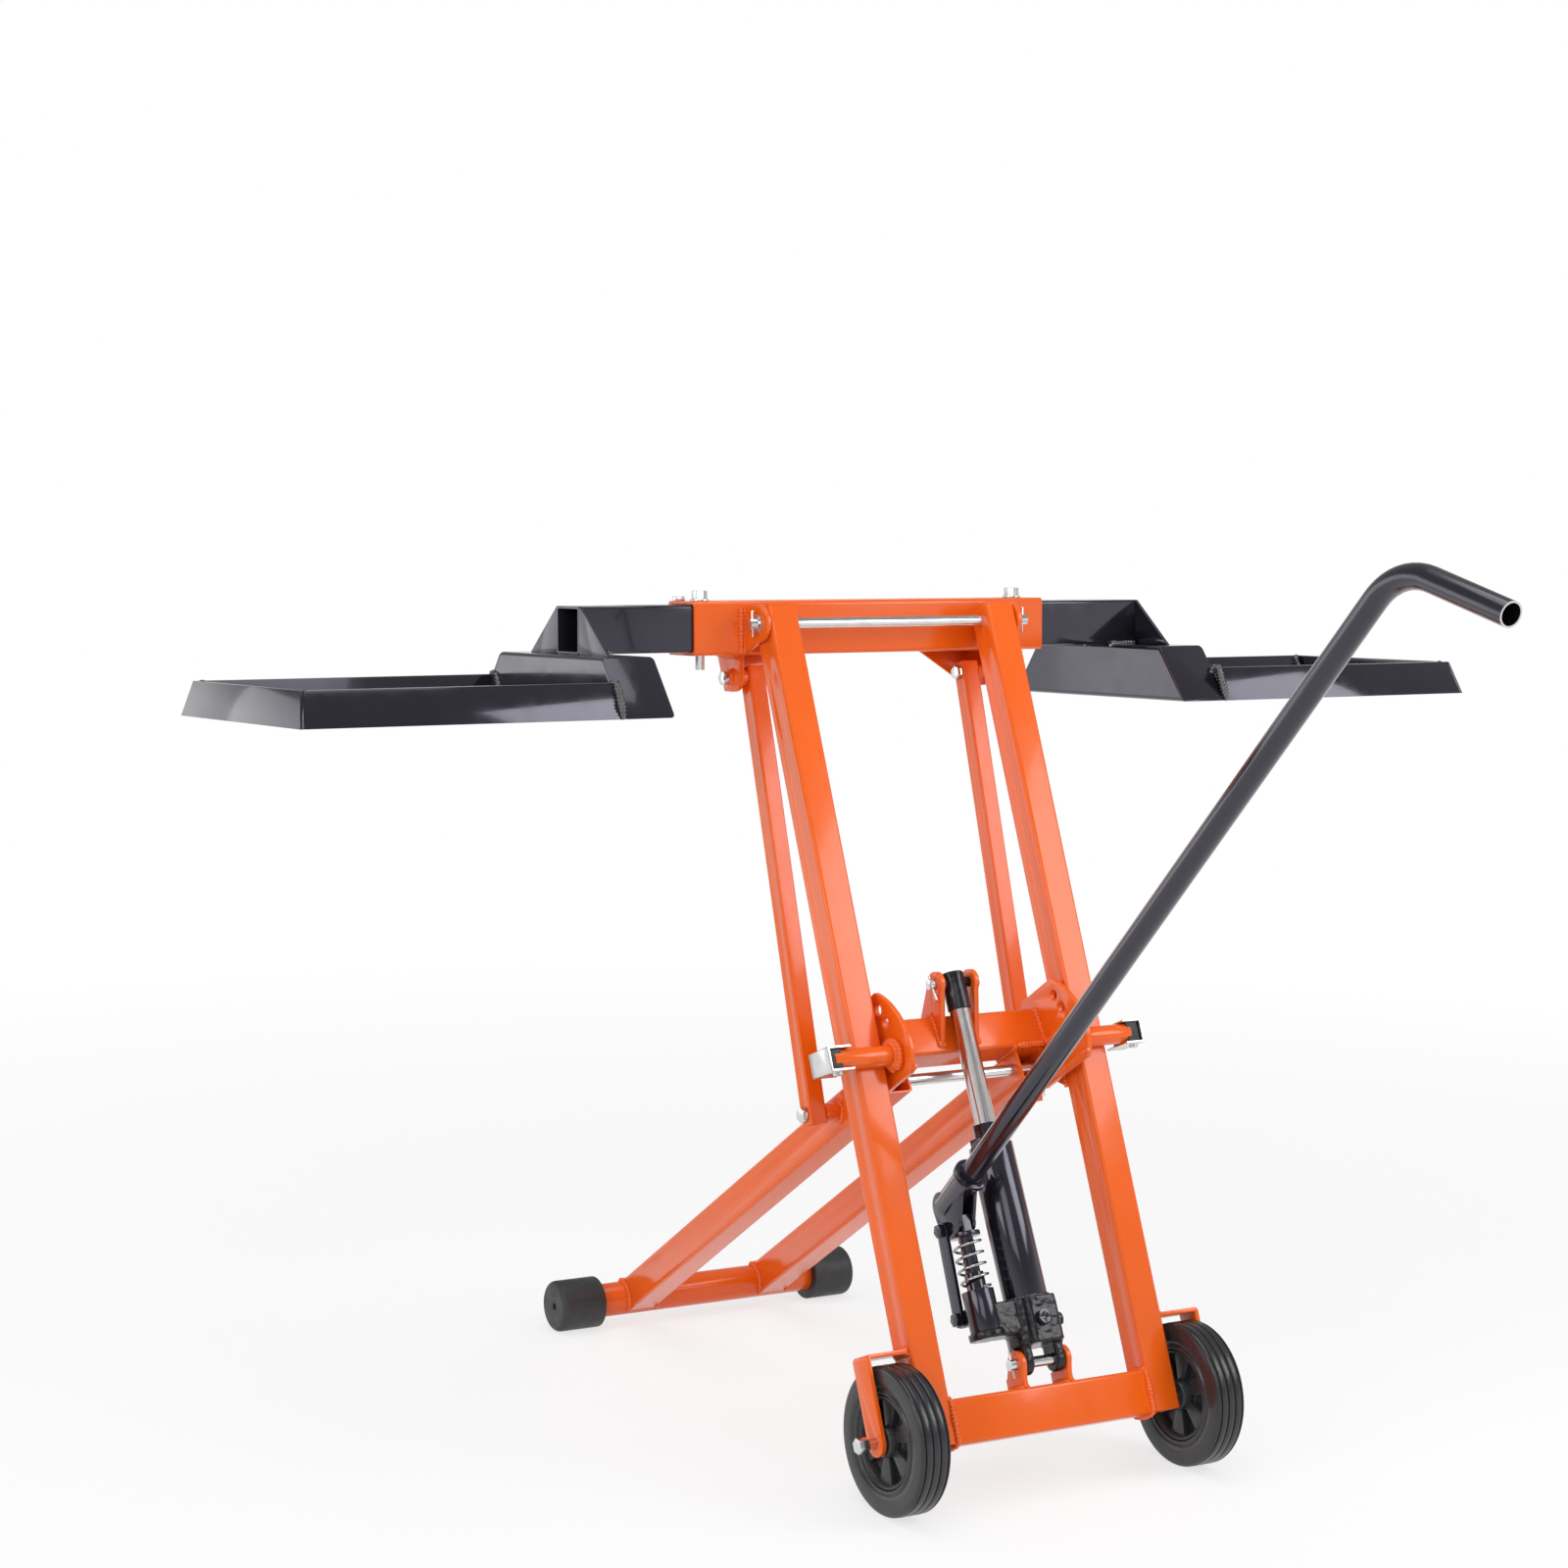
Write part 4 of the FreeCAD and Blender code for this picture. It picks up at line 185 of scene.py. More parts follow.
def surface(name, group, finish, plain, bump, distance):
    """A material: colour, roughness and bump from a finish group, plain values on the shader."""
    material = bpy.data.materials.new(name)
    material.use_nodes = True
    tree = material.node_tree
    shader = tree.nodes["Principled BSDF"]
    source = tree.nodes.new("ShaderNodeGroup")
    source.node_tree = group
    source.location = (-500, 200)
    for label, value in finish.items():
        source.inputs[label].default_value = value
    height = tree.nodes.new("ShaderNodeBump")
    height.inputs["Strength"].default_value = bump
    height.inputs["Distance"].default_value = distance
    height.location = (-250, -200)
    tree.links.new(source.outputs["Height"], height.inputs["Height"])
    tree.links.new(source.outputs["Colour"], shader.inputs["Base Color"])
    tree.links.new(source.outputs["Roughness"], shader.inputs["Roughness"])
    tree.links.new(height.outputs["Normal"], shader.inputs["Normal"])
    for label, value in plain.items():
        shader.inputs[label].default_value = value
    return material


orange_paint = surface(
    "orange_paint", paint_film,
    {"Colour": ORANGE, "Drift": 0.08, "Gloss low": 0.16, "Gloss high": 0.26, "Ripple size": 420.0},
    {"Specular IOR Level": 0.4, "Coat Weight": 0.2, "Coat Roughness": 0.06},
    bump=0.03, distance=0.0003)


def alone(piece):
    """Makes a piece the active one and the only one selected."""
    bpy.ops.object.select_all(action="DESELECT")
    bpy.context.view_layer.objects.active = piece
    piece.select_set(True)


def dressed(node, name, body, material, ease):
    """A copy of a CAD piece, its triangles joined into whole faces and its sharp edges eased."""
    piece = bpy.data.objects.new(name, frame["nodes"][node].data.copy())
    bpy.context.collection.objects.link(piece)
    piece.data.materials.clear()
    piece.data.materials.append(material)
    alone(piece)
    bpy.ops.mesh.customdata_custom_splitnormals_clear()
    bpy.ops.object.mode_set(mode="EDIT")
    bpy.ops.mesh.select_all(action="SELECT")
    bpy.ops.mesh.remove_doubles(threshold=MERGE_DISTANCE)
    bpy.ops.mesh.dissolve_limited(angle_limit=FLAT_ANGLE)
    bpy.ops.object.mode_set(mode="OBJECT")
    if ease:
        bevel = piece.modifiers.new("eased", "BEVEL")
        bevel.width = ease
        bevel.segments = 2
        bevel.limit_method = "ANGLE"
        bevel.angle_limit = EDGE_ANGLE
        bpy.ops.object.modifier_apply(modifier=bevel.name)
    bpy.ops.object.shade_smooth_by_angle(angle=SMOOTH_ANGLE)
    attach(piece, body)
    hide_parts(node)
    return piece


def member(origin, angle):
    """A member's own axes: X along it, Z square to it, turned up from the floor by the angle."""
    return Matrix.Translation(origin) @ Matrix.Rotation(-angle, 4, "Y")


def slope(start, end):
    """The angle from the floor up to a line between two points."""
    return math.atan2(end.z - start.z, end.x - start.x)


def ring(x, z, radius, y, turns=FULL_TURNS):
    """Points round a centre in a member's X-Z plane, at turns in degrees."""
    angles = [math.radians(turn) for turn in turns]
    return [(x + radius * math.cos(angle), y, z + radius * math.sin(angle)) for angle in angles]


def round_line(name, radius, resolution):
    """An empty curve that is drawn as round wire."""
    line = bpy.data.curves.new(name, "CURVE")
    line.dimensions = "3D"
    line.bevel_depth = radius
    line.bevel_resolution = resolution
    line.use_fill_caps = True
    return line


def meshed(name, line, material):
    """A piece made from a curve's round wire."""
    piece = bpy.data.objects.new(name, line)
    bpy.context.collection.objects.link(piece)
    alone(piece)
    bpy.ops.object.convert(target="MESH")
    piece.data.materials.append(material)
    bpy.ops.object.shade_smooth()
    return piece


def weld_beads(name, body, axes, runs, material, width=BEAD):
    """Rippled weld beads along runs of points in a member's axes, as one piece on the body."""
    line = round_line(name, width / 2, 2)
    for run in runs:
        corners = [axes @ Vector(corner) for corner in run]
        lengths = [(b - a).length for a, b in zip(corners, corners[1:])]
        total = sum(lengths)
        steps = max(6, int(total / RIPPLE * STEPS_PER_RIPPLE))
        spline = line.splines.new("POLY")
        spline.points.add(steps)
        for number, point in enumerate(spline.points):
            along = total * number / steps
            stretch = 0
            while stretch < len(lengths) - 1 and along > lengths[stretch]:
                along -= lengths[stretch]
                stretch += 1
            spot = corners[stretch].lerp(corners[stretch + 1], along / lengths[stretch])
            point.co = (*spot, 1.0)
            wave = math.sin(2 * math.pi * total * number / steps / RIPPLE)
            drift = math.sin(number * DRIFT_QUICK + total * DRIFT_PER_METRE)
            drift *= math.sin(number * DRIFT_SLOW + DRIFT_START)
            tip = BEAD_TIP + BEAD_TIP_GROWTH * min(number, steps - number)
            point.radius = (1.0 + BEAD_WAVE * wave + BEAD_DRIFT * drift) * min(1.0, tip)
    piece = meshed(name, line, material)
    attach(piece, body)
    return piece


foot_low, foot_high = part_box("foot_bar")
foot_axis = Vector(((foot_low.x + foot_high.x) / 2, 0.0, (foot_low.z + foot_high.z) / 2))
leg_length = (pivots["fold"] - foot_axis).length
leg_axes = member(pivots["fold"], slope(foot_axis, pivots["fold"]))
for node in ("foot_bar", "left_leg", "right_leg"):
    dressed(node, node + "_steel", "leg_frame", orange_paint, TUBE_EDGE)
foot_runs = []
for side in (-1, 1):
    for y in LEG_SIDES:
        foot_runs.append(ring(-leg_length, 0.0, FOOT_WELD_RADIUS, side * y, FOOT_WELD_TURNS))
    foot_runs.append([
        (-leg_length + FOOT_WELD_BACK, side * y, LEG_TUBE_HALF + FOOT_WELD_LIFT)
        for y in LEG_SIDES])
weld_beads("foot_welds", "leg_frame", leg_axes, foot_runs, orange_paint)


# Foot caps: moulded black rubber caps pushed over both ends of the foot bar. They are matt,
# rounded at the outer end, with a small vent hole in the end wall.
RUBBER = (0.026, 0.026, 0.029, 1.0)
RUBBED = (0.07, 0.07, 0.075, 1.0)
CAP_RADIUS = 32.0 * MM
CAP_ROUND = 7.0 * MM
CAP_LIP = 1.5 * MM
CAP_HOLE = 4.0 * MM
CAP_DISH = 1.2 * MM
CAP_WALL = 7.0 * MM
CAP_LENGTH = 60.0 * MM


def build_rubber_skin():
    """Moulded rubber: even dark grey, cloudy sheen, fine pitted skin and pale rubbed patches."""
    tree, given, spots = open_group(
        "rubber_skin", ["Colour", "Rubbed"], ["Sheen low", "Sheen high", "Pit size"])
    patch = noise_node(tree, spots, scale=24.0, detail=5.0, place=(-650, 300))
    cloud = noise_node(tree, spots, scale=90.0, detail=3.0, place=(-650, 50))
    pits = noise_node(tree, spots, given["Pit size"], detail=2.0, place=(-650, -200))
    rub = range_node(tree, patch, 0.0, 0.35, (-300, 300), start=0.5, end=0.75)
    colour = colour_mix(tree, "MIX", rub, given["Colour"], given["Rubbed"], (0, 300))
    sheen = range_node(tree, cloud, given["Sheen low"], given["Sheen high"], (-300, 50))
    return close_group(tree, colour, sheen, pits)


rubber_skin = build_rubber_skin()
cap_rubber = surface(
    "cap_rubber", rubber_skin,
    {"Colour": RUBBER, "Rubbed": RUBBED, "Sheen low": 0.42, "Sheen high": 0.58, "Pit size": 700.0},
    {}, bump=0.15, distance=0.0004)


def arc(centre, radius, start, end, steps):
    """Outline points (radius, offset) on an arc between two angles in degrees."""
    points = []
    for number in range(steps + 1):
        turn = math.radians(start + (end - start) * number / steps)
        points.append((centre[0] + radius * math.cos(turn), centre[1] + radius * math.sin(turn)))
    return points


def turned(name, outline, axle, side, steps):
    """A round piece spun about an axle along Y from its outline of (radius, offset) points."""
    spots = [
        Vector((axle.x + radius, axle.y + side * offset, axle.z)) for radius, offset in outline]
    spots.append(spots[0])
    bpy.ops.object.select_all(action="DESELECT")
    bpy.ops.mesh.primitive_plane_add(size=MM, location=spots[0])
    piece = bpy.context.object
    piece.name = name
    bpy.ops.object.transform_apply(location=True, rotation=True, scale=True)
    bpy.ops.object.mode_set(mode="EDIT")
    bpy.ops.mesh.select_all(action="SELECT")
    bpy.ops.mesh.merge(type="CENTER")
    for before, after in zip(spots, spots[1:]):
        bpy.ops.mesh.extrude_region_move(TRANSFORM_OT_translate={"value": after - before})
    bpy.ops.mesh.select_all(action="SELECT")
    bpy.ops.mesh.spin(steps=steps, angle=2 * math.pi, center=axle, axis=(0.0, 1.0, 0.0))
    bpy.ops.mesh.select_all(action="SELECT")
    bpy.ops.mesh.remove_doubles(threshold=MERGE_DISTANCE)
    bpy.ops.mesh.normals_make_consistent(inside=False)
    bpy.ops.object.mode_set(mode="OBJECT")
    bpy.ops.object.shade_smooth_by_angle(angle=SMOOTH_ANGLE)
    return piece


def joined(pieces, name):
    """Several pieces made into one."""
    alone(pieces[0])
    for piece in pieces[1:]:
        piece.select_set(True)
    bpy.ops.object.join()
    pieces[0].name = name
    return pieces[0]


cap_low, cap_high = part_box("foot_caps")
cap_outline = [(FOOT_BAR_RADIUS, CAP_LENGTH), (CAP_RADIUS - CAP_LIP, CAP_LENGTH)]
cap_outline += arc((CAP_RADIUS - CAP_LIP, CAP_LENGTH - CAP_LIP), CAP_LIP, 90, 0, steps=3)
cap_outline += arc((CAP_RADIUS - CAP_ROUND, CAP_ROUND), CAP_ROUND, 0, -90, steps=7)
cap_outline += [
    (CAP_RADIUS / 2, CAP_DISH * 0.3), (CAP_HOLE + MM, CAP_DISH), (CAP_HOLE, CAP_DISH + MM),
    (CAP_HOLE, CAP_WALL), (FOOT_BAR_RADIUS, CAP_WALL)]
caps = []
for side, end_y in ((-1, cap_low.y), (1, cap_high.y)):
    end_centre = Vector((foot_axis.x, end_y, foot_axis.z))
    caps.append(turned("foot_cap", cap_outline, end_centre, -side, steps=64))
foot_caps = joined(caps, "foot_caps_rubber")
foot_caps.data.materials.append(cap_rubber)
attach(foot_caps, "leg_frame")
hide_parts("foot_caps")


# Middle of the legs: a square cross tube welded on top, side plates with lock holes, round
# bosses for the links and two ears for the jack's ram. Steel, cut and welded, then orange.
PLATE_EDGE = 0.7 * MM
CROSS_BACK = -21.0 * MM
CROSS_FRONT = 24.0 * MM
CROSS_TOP = 65.25 * MM
PLATE_BACK = -8.0 * MM
PLATE_FRONT = 98.0 * MM
PLATE_TOP_FRONT = PLATE_FRONT * 0.9
RAM_EAR_SIDES = (20.0 * MM, 26.0 * MM)
RAM_EAR_BACK = -3.0 * MM
RAM_EAR_LOW = LEG_TUBE_HALF + 6.0 * MM
BOSS_RADIUS = 11.0 * MM
BOSS_DOWN = 79.5 * MM
SECTOR_TOE = 12.0 * MM
TOE_BACK = 60.0 * MM
TOE_TOP = 20.0 * MM
TOE_HEIGHT = 45.0 * MM


def reshaped(piece, axes, rule):
    """Moves each vertex by a rule that is written in a member's own axes."""
    back = axes.inverted()
    for vertex in piece.data.vertices:
        vertex.co = axes @ Vector(rule(*(back @ vertex.co)))
    return piece


def sector_toe(x, y, z):
    """Draws a side plate's front back towards the pivot, the lower the more."""
    low = max(0.0, min(1.0, (TOE_TOP - z) / TOE_HEIGHT))
    return x - SECTOR_TOE * low ** 2 * (x > TOE_BACK), y, z


for node, edge in (
        ("mid_cross_tube", TUBE_EDGE), ("ram_ears", PLATE_EDGE), ("left_sector_plate", PLATE_EDGE),
        ("right_sector_plate", PLATE_EDGE), ("link_bosses", TUBE_EDGE)):
    piece = dressed(node, node + "_steel", "leg_frame", orange_paint, edge)
    if node.endswith("sector_plate"):
        reshaped(piece, leg_axes, sector_toe)
middle_runs = []
for side in (-1, 1):
    inner, outer = side * LEG_SIDES[0], side * LEG_SIDES[1]
    middle_runs += [
        [(CROSS_BACK, inner, LEG_TUBE_HALF), (CROSS_BACK, outer, LEG_TUBE_HALF)],
        [(CROSS_FRONT, inner, LEG_TUBE_HALF), (CROSS_FRONT, outer, LEG_TUBE_HALF)],
        [(CROSS_BACK, inner, LEG_TUBE_HALF), (CROSS_FRONT, inner, LEG_TUBE_HALF)],
        [(CROSS_FRONT, outer, LEG_TUBE_HALF), (PLATE_TOP_FRONT, outer, LEG_TUBE_HALF)],
        [(CROSS_FRONT, outer, LEG_TUBE_HALF), (CROSS_FRONT, outer, CROSS_TOP)],
        [(PLATE_BACK, outer, -LEG_TUBE_HALF), (PLATE_FRONT, outer, -LEG_TUBE_HALF)]]
    for y in RAM_EAR_SIDES:
        middle_runs.append([
            (RAM_EAR_BACK, side * y, CROSS_TOP), (CROSS_FRONT, side * y, CROSS_TOP),
            (CROSS_FRONT, side * y, RAM_EAR_LOW)])
    middle_runs.append(ring(-BOSS_DOWN, 0.0, BOSS_RADIUS, outer))
weld_beads("middle_welds", "leg_frame", leg_axes, middle_runs, orange_paint)


# Pivot rods and pins on the legs: turned steel, bright zinc plated, with washers between the
# moving tubes and split pins or heads at the ends.
ZINC = (0.7, 0.71, 0.72, 1.0)
ZINC_TINT = (0.58, 0.57, 0.53, 1.0)
PIN_EDGE = 0.5 * MM
SCRATCH_STRETCH = (1.0, 0.08, 1.0)


def build_plated_metal():
    """Plated or bare metal: faint warm and cool patches, cloudy roughness and fine scratches."""
    tree, given, spots = open_group(
        "plated_metal", ["Colour", "Tint"], ["Dull low", "Dull high", "Scratch size"])
    patch = noise_node(tree, spots, scale=55.0, detail=4.0, place=(-650, 300))
    cloud = noise_node(tree, spots, scale=160.0, detail=3.0, place=(-650, 50))
    stretch = tree.nodes.new("ShaderNodeMapping")
    stretch.inputs["Scale"].default_value = SCRATCH_STRETCH
    stretch.location = (-900, -200)
    tree.links.new(spots, stretch.inputs["Vector"])
    scratches = noise_node(
        tree, stretch.outputs["Vector"], given["Scratch size"], detail=3.0, place=(-650, -200))
    mask = range_node(tree, patch, 0.0, 0.6, (-300, 300), start=0.4, end=0.75)
    colour = colour_mix(tree, "MIX", mask, given["Colour"], given["Tint"], (0, 300))
    dullness = range_node(tree, cloud, given["Dull low"], given["Dull high"], (-300, 50))
    return close_group(tree, colour, dullness, scratches)


plated_metal = build_plated_metal()
zinc = surface(
    "zinc_plate", plated_metal,
    {"Colour": ZINC, "Tint": ZINC_TINT, "Dull low": 0.16, "Dull high": 0.26, "Scratch size": 260.0},
    {"Metallic": 1.0}, bump=0.02, distance=0.0002)
for node in ("middle_rod", "link_lower_bolts", "ram_pin_ends"):
    dressed(node, node + "_zinc", "leg_frame", zinc, PIN_EDGE)


# Arm frame: two long square tubes from the axles up to the carrier, tied by a flat-lying
# cross tube near the floor. Jack ears, pivot lugs, wheel straps and lock tubes are welded on.
ARM_HALF = 19.0 * MM
ARM_INNER = 131.0 * MM
ARM_OUTER = 169.0 * MM
CROSS_ABOVE_AXLE = 33.0 * MM
CROSS_BELOW_AXLE = 17.0 * MM
CROSS_CORNER = 4.0 * MM
JACK_EAR_SIDES = (27.0 * MM, 33.0 * MM)
JACK_EAR_BACK = -15.0 * MM
LUG_HALF = 30.0 * MM
LUG_SIDES = (131.0 * MM, 139.0 * MM)
STRAP_ABOVE_AXLE = 93.0 * MM
STRAP_THICKNESS = 5.0 * MM
STRAP_HALF = 15.0 * MM
LOCK_TUBE_ABOVE_PIVOT = 17.0 * MM
LOCK_TUBE_SEAT = 7.0 * MM
LOCK_TUBE_FORWARD = 30.8 * MM
LOCK_TUBE_FREE = 180.0 * MM
LOCK_TUBE_LEFT_ADD = -23.0 * MM
LOCK_TUBE_RIGHT_ADD = 8.0 * MM
LOCK_WELD_INSET = 2.0 * MM
COLLAR_RADII = (13.0 * MM, 15.5 * MM, 12.5 * MM)
COLLAR_SIDES = (124.6 * MM, 127.2 * MM, 130.0 * MM)
wheel_axle = Vector((pivots["left_wheel_spin"].x, 0.0, pivots["left_wheel_spin"].z))
arm_axes = member(pivots["carrier_tilt"], slope(pivots["carrier_tilt"], wheel_axle))
axle_down = (wheel_axle - pivots["carrier_tilt"]).length
middle_down = (arm_axes.inverted() @ pivots["fold"]).x


def lock_tube_end(x, y, z):
    """Moves a lock tube's free end along the tube, on each side by its own amount."""
    if y < -LOCK_TUBE_FREE:
        return x, y + LOCK_TUBE_LEFT_ADD, z
    if y > LOCK_TUBE_FREE:
        return x, y + LOCK_TUBE_RIGHT_ADD, z
    return x, y, z


for node, edge in (
        ("left_arm", TUBE_EDGE), ("right_arm", TUBE_EDGE), ("lower_cross_tube", TUBE_EDGE),
        ("jack_ears", PLATE_EDGE), ("pivot_lugs", PLATE_EDGE), ("wheel_straps", PLATE_EDGE)):
    dressed(node, node + "_steel", "main_arm", orange_paint, edge)
lock_tubes = dressed(
    "lock_tubes", "lock_tubes_steel", "main_arm", orange_paint, TUBE_EDGE)
reshaped(lock_tubes, arm_axes, lock_tube_end)
cross_top = axle_down - CROSS_ABOVE_AXLE
cross_low = axle_down + CROSS_BELOW_AXLE
strap_top = axle_down - STRAP_ABOVE_AXLE
lock_down = middle_down - LOCK_TUBE_ABOVE_PIVOT
arm_runs = []
for side in (-1, 1):
    arm_runs.append([(down, side * ARM_INNER, out) for down, out in (
        (cross_top, -ARM_HALF + CROSS_CORNER), (cross_top, ARM_HALF - CROSS_CORNER),
        (cross_top + CROSS_CORNER, ARM_HALF), (cross_low - CROSS_CORNER, ARM_HALF),
        (cross_low, ARM_HALF - CROSS_CORNER), (cross_low, -ARM_HALF + CROSS_CORNER),
        (cross_low - CROSS_CORNER, -ARM_HALF), (cross_top + CROSS_CORNER, -ARM_HALF),
        (cross_top, -ARM_HALF + CROSS_CORNER))])
    for y in JACK_EAR_SIDES:
        arm_runs.append([
            (cross_top, side * y, JACK_EAR_BACK), (cross_top, side * y, ARM_HALF - MM)])
    for y in LUG_SIDES:
        arm_runs.append([
            (middle_down - LUG_HALF, side * y, -ARM_HALF),
            (middle_down + LUG_HALF, side * y, -ARM_HALF)])
    for down in (strap_top, strap_top + STRAP_THICKNESS):
        arm_runs.append([
            (down, side * ARM_OUTER, -STRAP_HALF), (down, side * ARM_OUTER, STRAP_HALF)])
    for down in (lock_down - LOCK_TUBE_SEAT, lock_down + LOCK_TUBE_SEAT):
        arm_runs.append([
            (down, side * (ARM_INNER + LOCK_WELD_INSET), ARM_HALF + MM),
            (down, side * (ARM_OUTER - LOCK_WELD_INSET), ARM_HALF + MM)])
    for radius, y in zip(COLLAR_RADII, COLLAR_SIDES):
        arm_runs.append(ring(lock_down, LOCK_TUBE_FORWARD, radius, side * y))
weld_beads("arm_welds", "main_arm", arm_axes, arm_runs, orange_paint)


# Lock ends: a bent zinc channel with a screw closes each lock tube beside the arm, round a
# black moulded block.
CHANNEL_BACK = -16.0 * MM
CHANNEL_DEPTH = 59.0 * MM
CHANNEL_NEW_BACK = 3.0 * MM
CHANNEL_NEW_DEPTH = 41.0 * MM
CHANNEL_INNER = 178.0 * MM
CHANNEL_LEFT_INNER = 186.0 * MM
CHANNEL_LEFT_STRETCH = 31.0 / 24.0
CHANNEL_RIGHT_INNER = 181.0 * MM
CHANNEL_RIGHT_STRETCH = 26.0 / 24.0
BLOCK_LEFT_ADD = -14.5 * MM
BLOCK_RIGHT_ADD = 2.5 * MM
BLOCK_SET_BACK = 2.0 * MM


def channel_place(x, y, z):
    """Sets a channel over its tube's end, wider along the tube and shorter at the back."""
    z = CHANNEL_NEW_BACK + (z - CHANNEL_BACK) * CHANNEL_NEW_DEPTH / CHANNEL_DEPTH
    out = abs(y) - CHANNEL_INNER
    if y < 0:
        return x, -(CHANNEL_LEFT_INNER + out * CHANNEL_LEFT_STRETCH), z
    return x, CHANNEL_RIGHT_INNER + out * CHANNEL_RIGHT_STRETCH, z


def block_place(x, y, z):
    """Sets a block inside its channel."""
    return x, y + (BLOCK_LEFT_ADD if y < 0 else BLOCK_RIGHT_ADD), z - BLOCK_SET_BACK


channels = dressed("lock_channels", "lock_channels_zinc", "main_arm", zinc, PLATE_EDGE)
reshaped(channels, arm_axes, channel_place)
blocks = dressed(
    "lock_blocks", "lock_blocks_rubber", "main_arm", cap_rubber, PLATE_EDGE)
reshaped(blocks, arm_axes, block_place)


# Wheels: solid black rubber tyres with four fine grooves, pressed on black plastic hubs with
# wedge-shaped spokes. A long zinc bolt is the axle, and its head stands off the strap.
TYRE_RADIUS = 81.0 * MM
TYRE_HALF = 19.0 * MM
TYRE_RIM = 51.0 * MM
TYRE_BEAD = 57.0 * MM
TYRE_BEAD_ROUND = 2.2 * MM
TYRE_SHOULDER_ROUND = 4.8 * MM
TYRE_GROOVES = (14.0 * MM, 4.67 * MM, -4.67 * MM, -14.0 * MM)
TYRE_STEPS = 128
GROOVE_HALF = 1.1 * MM
GROOVE_FLOOR_HALF = 0.3 * MM
GROOVE_DEPTH = 2.2 * MM
RIB_DROP = 0.55 * MM
RIB_SHARES = (0.25, 0.5, 0.75)
HUB_LIP = 48.5 * MM
HUB_WALL = 45.0 * MM
HUB_FACE = 16.5 * MM
HUB_FLOOR = 3.0 * MM
HUB_STEPS = 96
BOSS = 17.0 * MM
AXLE_HOLE = 6.06 * MM
SPOKES = 6
SPOKE_ROOT = 4.5 * MM
SPOKE_TIP = 13.0 * MM
SPOKE_FACE = 12.0 * MM
SPOKE_OVERLAP = 6.0 * MM
SPOKE_EDGE = 1.0 * MM
TYRE_BLACK = (0.021, 0.021, 0.024, 1.0)
TYRE_RUBBED = (0.045, 0.045, 0.05, 1.0)
HUB_BLACK = (0.026, 0.026, 0.029, 1.0)
HUB_RUBBED = (0.035, 0.035, 0.04, 1.0)
tyre_rubber = surface(
    "tyre_rubber", rubber_skin,
    {"Colour": TYRE_BLACK, "Rubbed": TYRE_RUBBED, "Sheen low": 0.2, "Sheen high": 0.3,
     "Pit size": 1100.0},
    {}, bump=0.08, distance=0.0003)
hub_plastic = surface(
    "hub_plastic", rubber_skin,
    {"Colour": HUB_BLACK, "Rubbed": HUB_RUBBED, "Sheen low": 0.3, "Sheen high": 0.42,
     "Pit size": 500.0},
    {}, bump=0.06, distance=0.0003)


def tyre_outline():
    """One side from the rim to the tread, the four grooves with crowned ribs, the other side."""
    side = [(TYRE_RIM, TYRE_HALF - 3.0 * MM)]
    side += arc((TYRE_RIM + 3.0 * MM, TYRE_HALF - 2.6 * MM), TYRE_BEAD_ROUND, 150, 20, steps=5)
    side += [
        (TYRE_BEAD + 0.5 * MM, TYRE_HALF - 2.4 * MM), (TYRE_BEAD + 2.5 * MM, TYRE_HALF - 1.0 * MM),
        (62.0 * MM, TYRE_HALF - 0.2 * MM), (67.0 * MM, TYRE_HALF),
        (72.0 * MM, TYRE_HALF - 0.4 * MM)]
    shoulder = (TYRE_RADIUS - 5.0 * MM, TYRE_HALF - 5.2 * MM)
    side += arc(shoulder, TYRE_SHOULDER_ROUND, 80, 15, steps=5)
    tread = []
    for number, groove in enumerate(TYRE_GROOVES):
        tread += [
            (TYRE_RADIUS - RIB_DROP, groove + GROOVE_HALF),
            (TYRE_RADIUS - GROOVE_DEPTH, groove + GROOVE_FLOOR_HALF),
            (TYRE_RADIUS - GROOVE_DEPTH, groove - GROOVE_FLOOR_HALF),
            (TYRE_RADIUS - RIB_DROP, groove - GROOVE_HALF)]
        if number + 1 < len(TYRE_GROOVES):
            rib = TYRE_GROOVES[number + 1] - groove + 2 * GROOVE_HALF
            for share in RIB_SHARES:
                offset = groove - GROOVE_HALF + rib * share
                tread.append((TYRE_RADIUS - RIB_DROP * (2 * share - 1) ** 2, offset))
    return side + tread + [(radius, -offset) for radius, offset in reversed(side)]


def hub_outline():
    """The hub's shell: rim lip, dished inside, disc, boss with the axle's hole, and back."""
    half = [
        (TYRE_RIM, HUB_FACE - 2.0 * MM), (TYRE_RIM - 0.6 * MM, HUB_FACE),
        (HUB_LIP, HUB_FACE + 0.6 * MM), (HUB_LIP - 1.4 * MM, HUB_FACE - 0.4 * MM),
        (HUB_WALL + 0.6 * MM, HUB_FACE - 4 * MM), (HUB_WALL - 1.5 * MM, HUB_FLOOR + 1.5 * MM),
        (HUB_WALL - 4 * MM, HUB_FLOOR), (BOSS + 4 * MM, HUB_FLOOR),
        (BOSS + 0.8 * MM, HUB_FLOOR + 2 * MM), (BOSS, HUB_FACE + 1.0 * MM),
        (BOSS - 1.2 * MM, HUB_FACE + 2.4 * MM), (AXLE_HOLE, HUB_FACE + 2.4 * MM)]
    return half + [(radius, -offset) for radius, offset in reversed(half)]


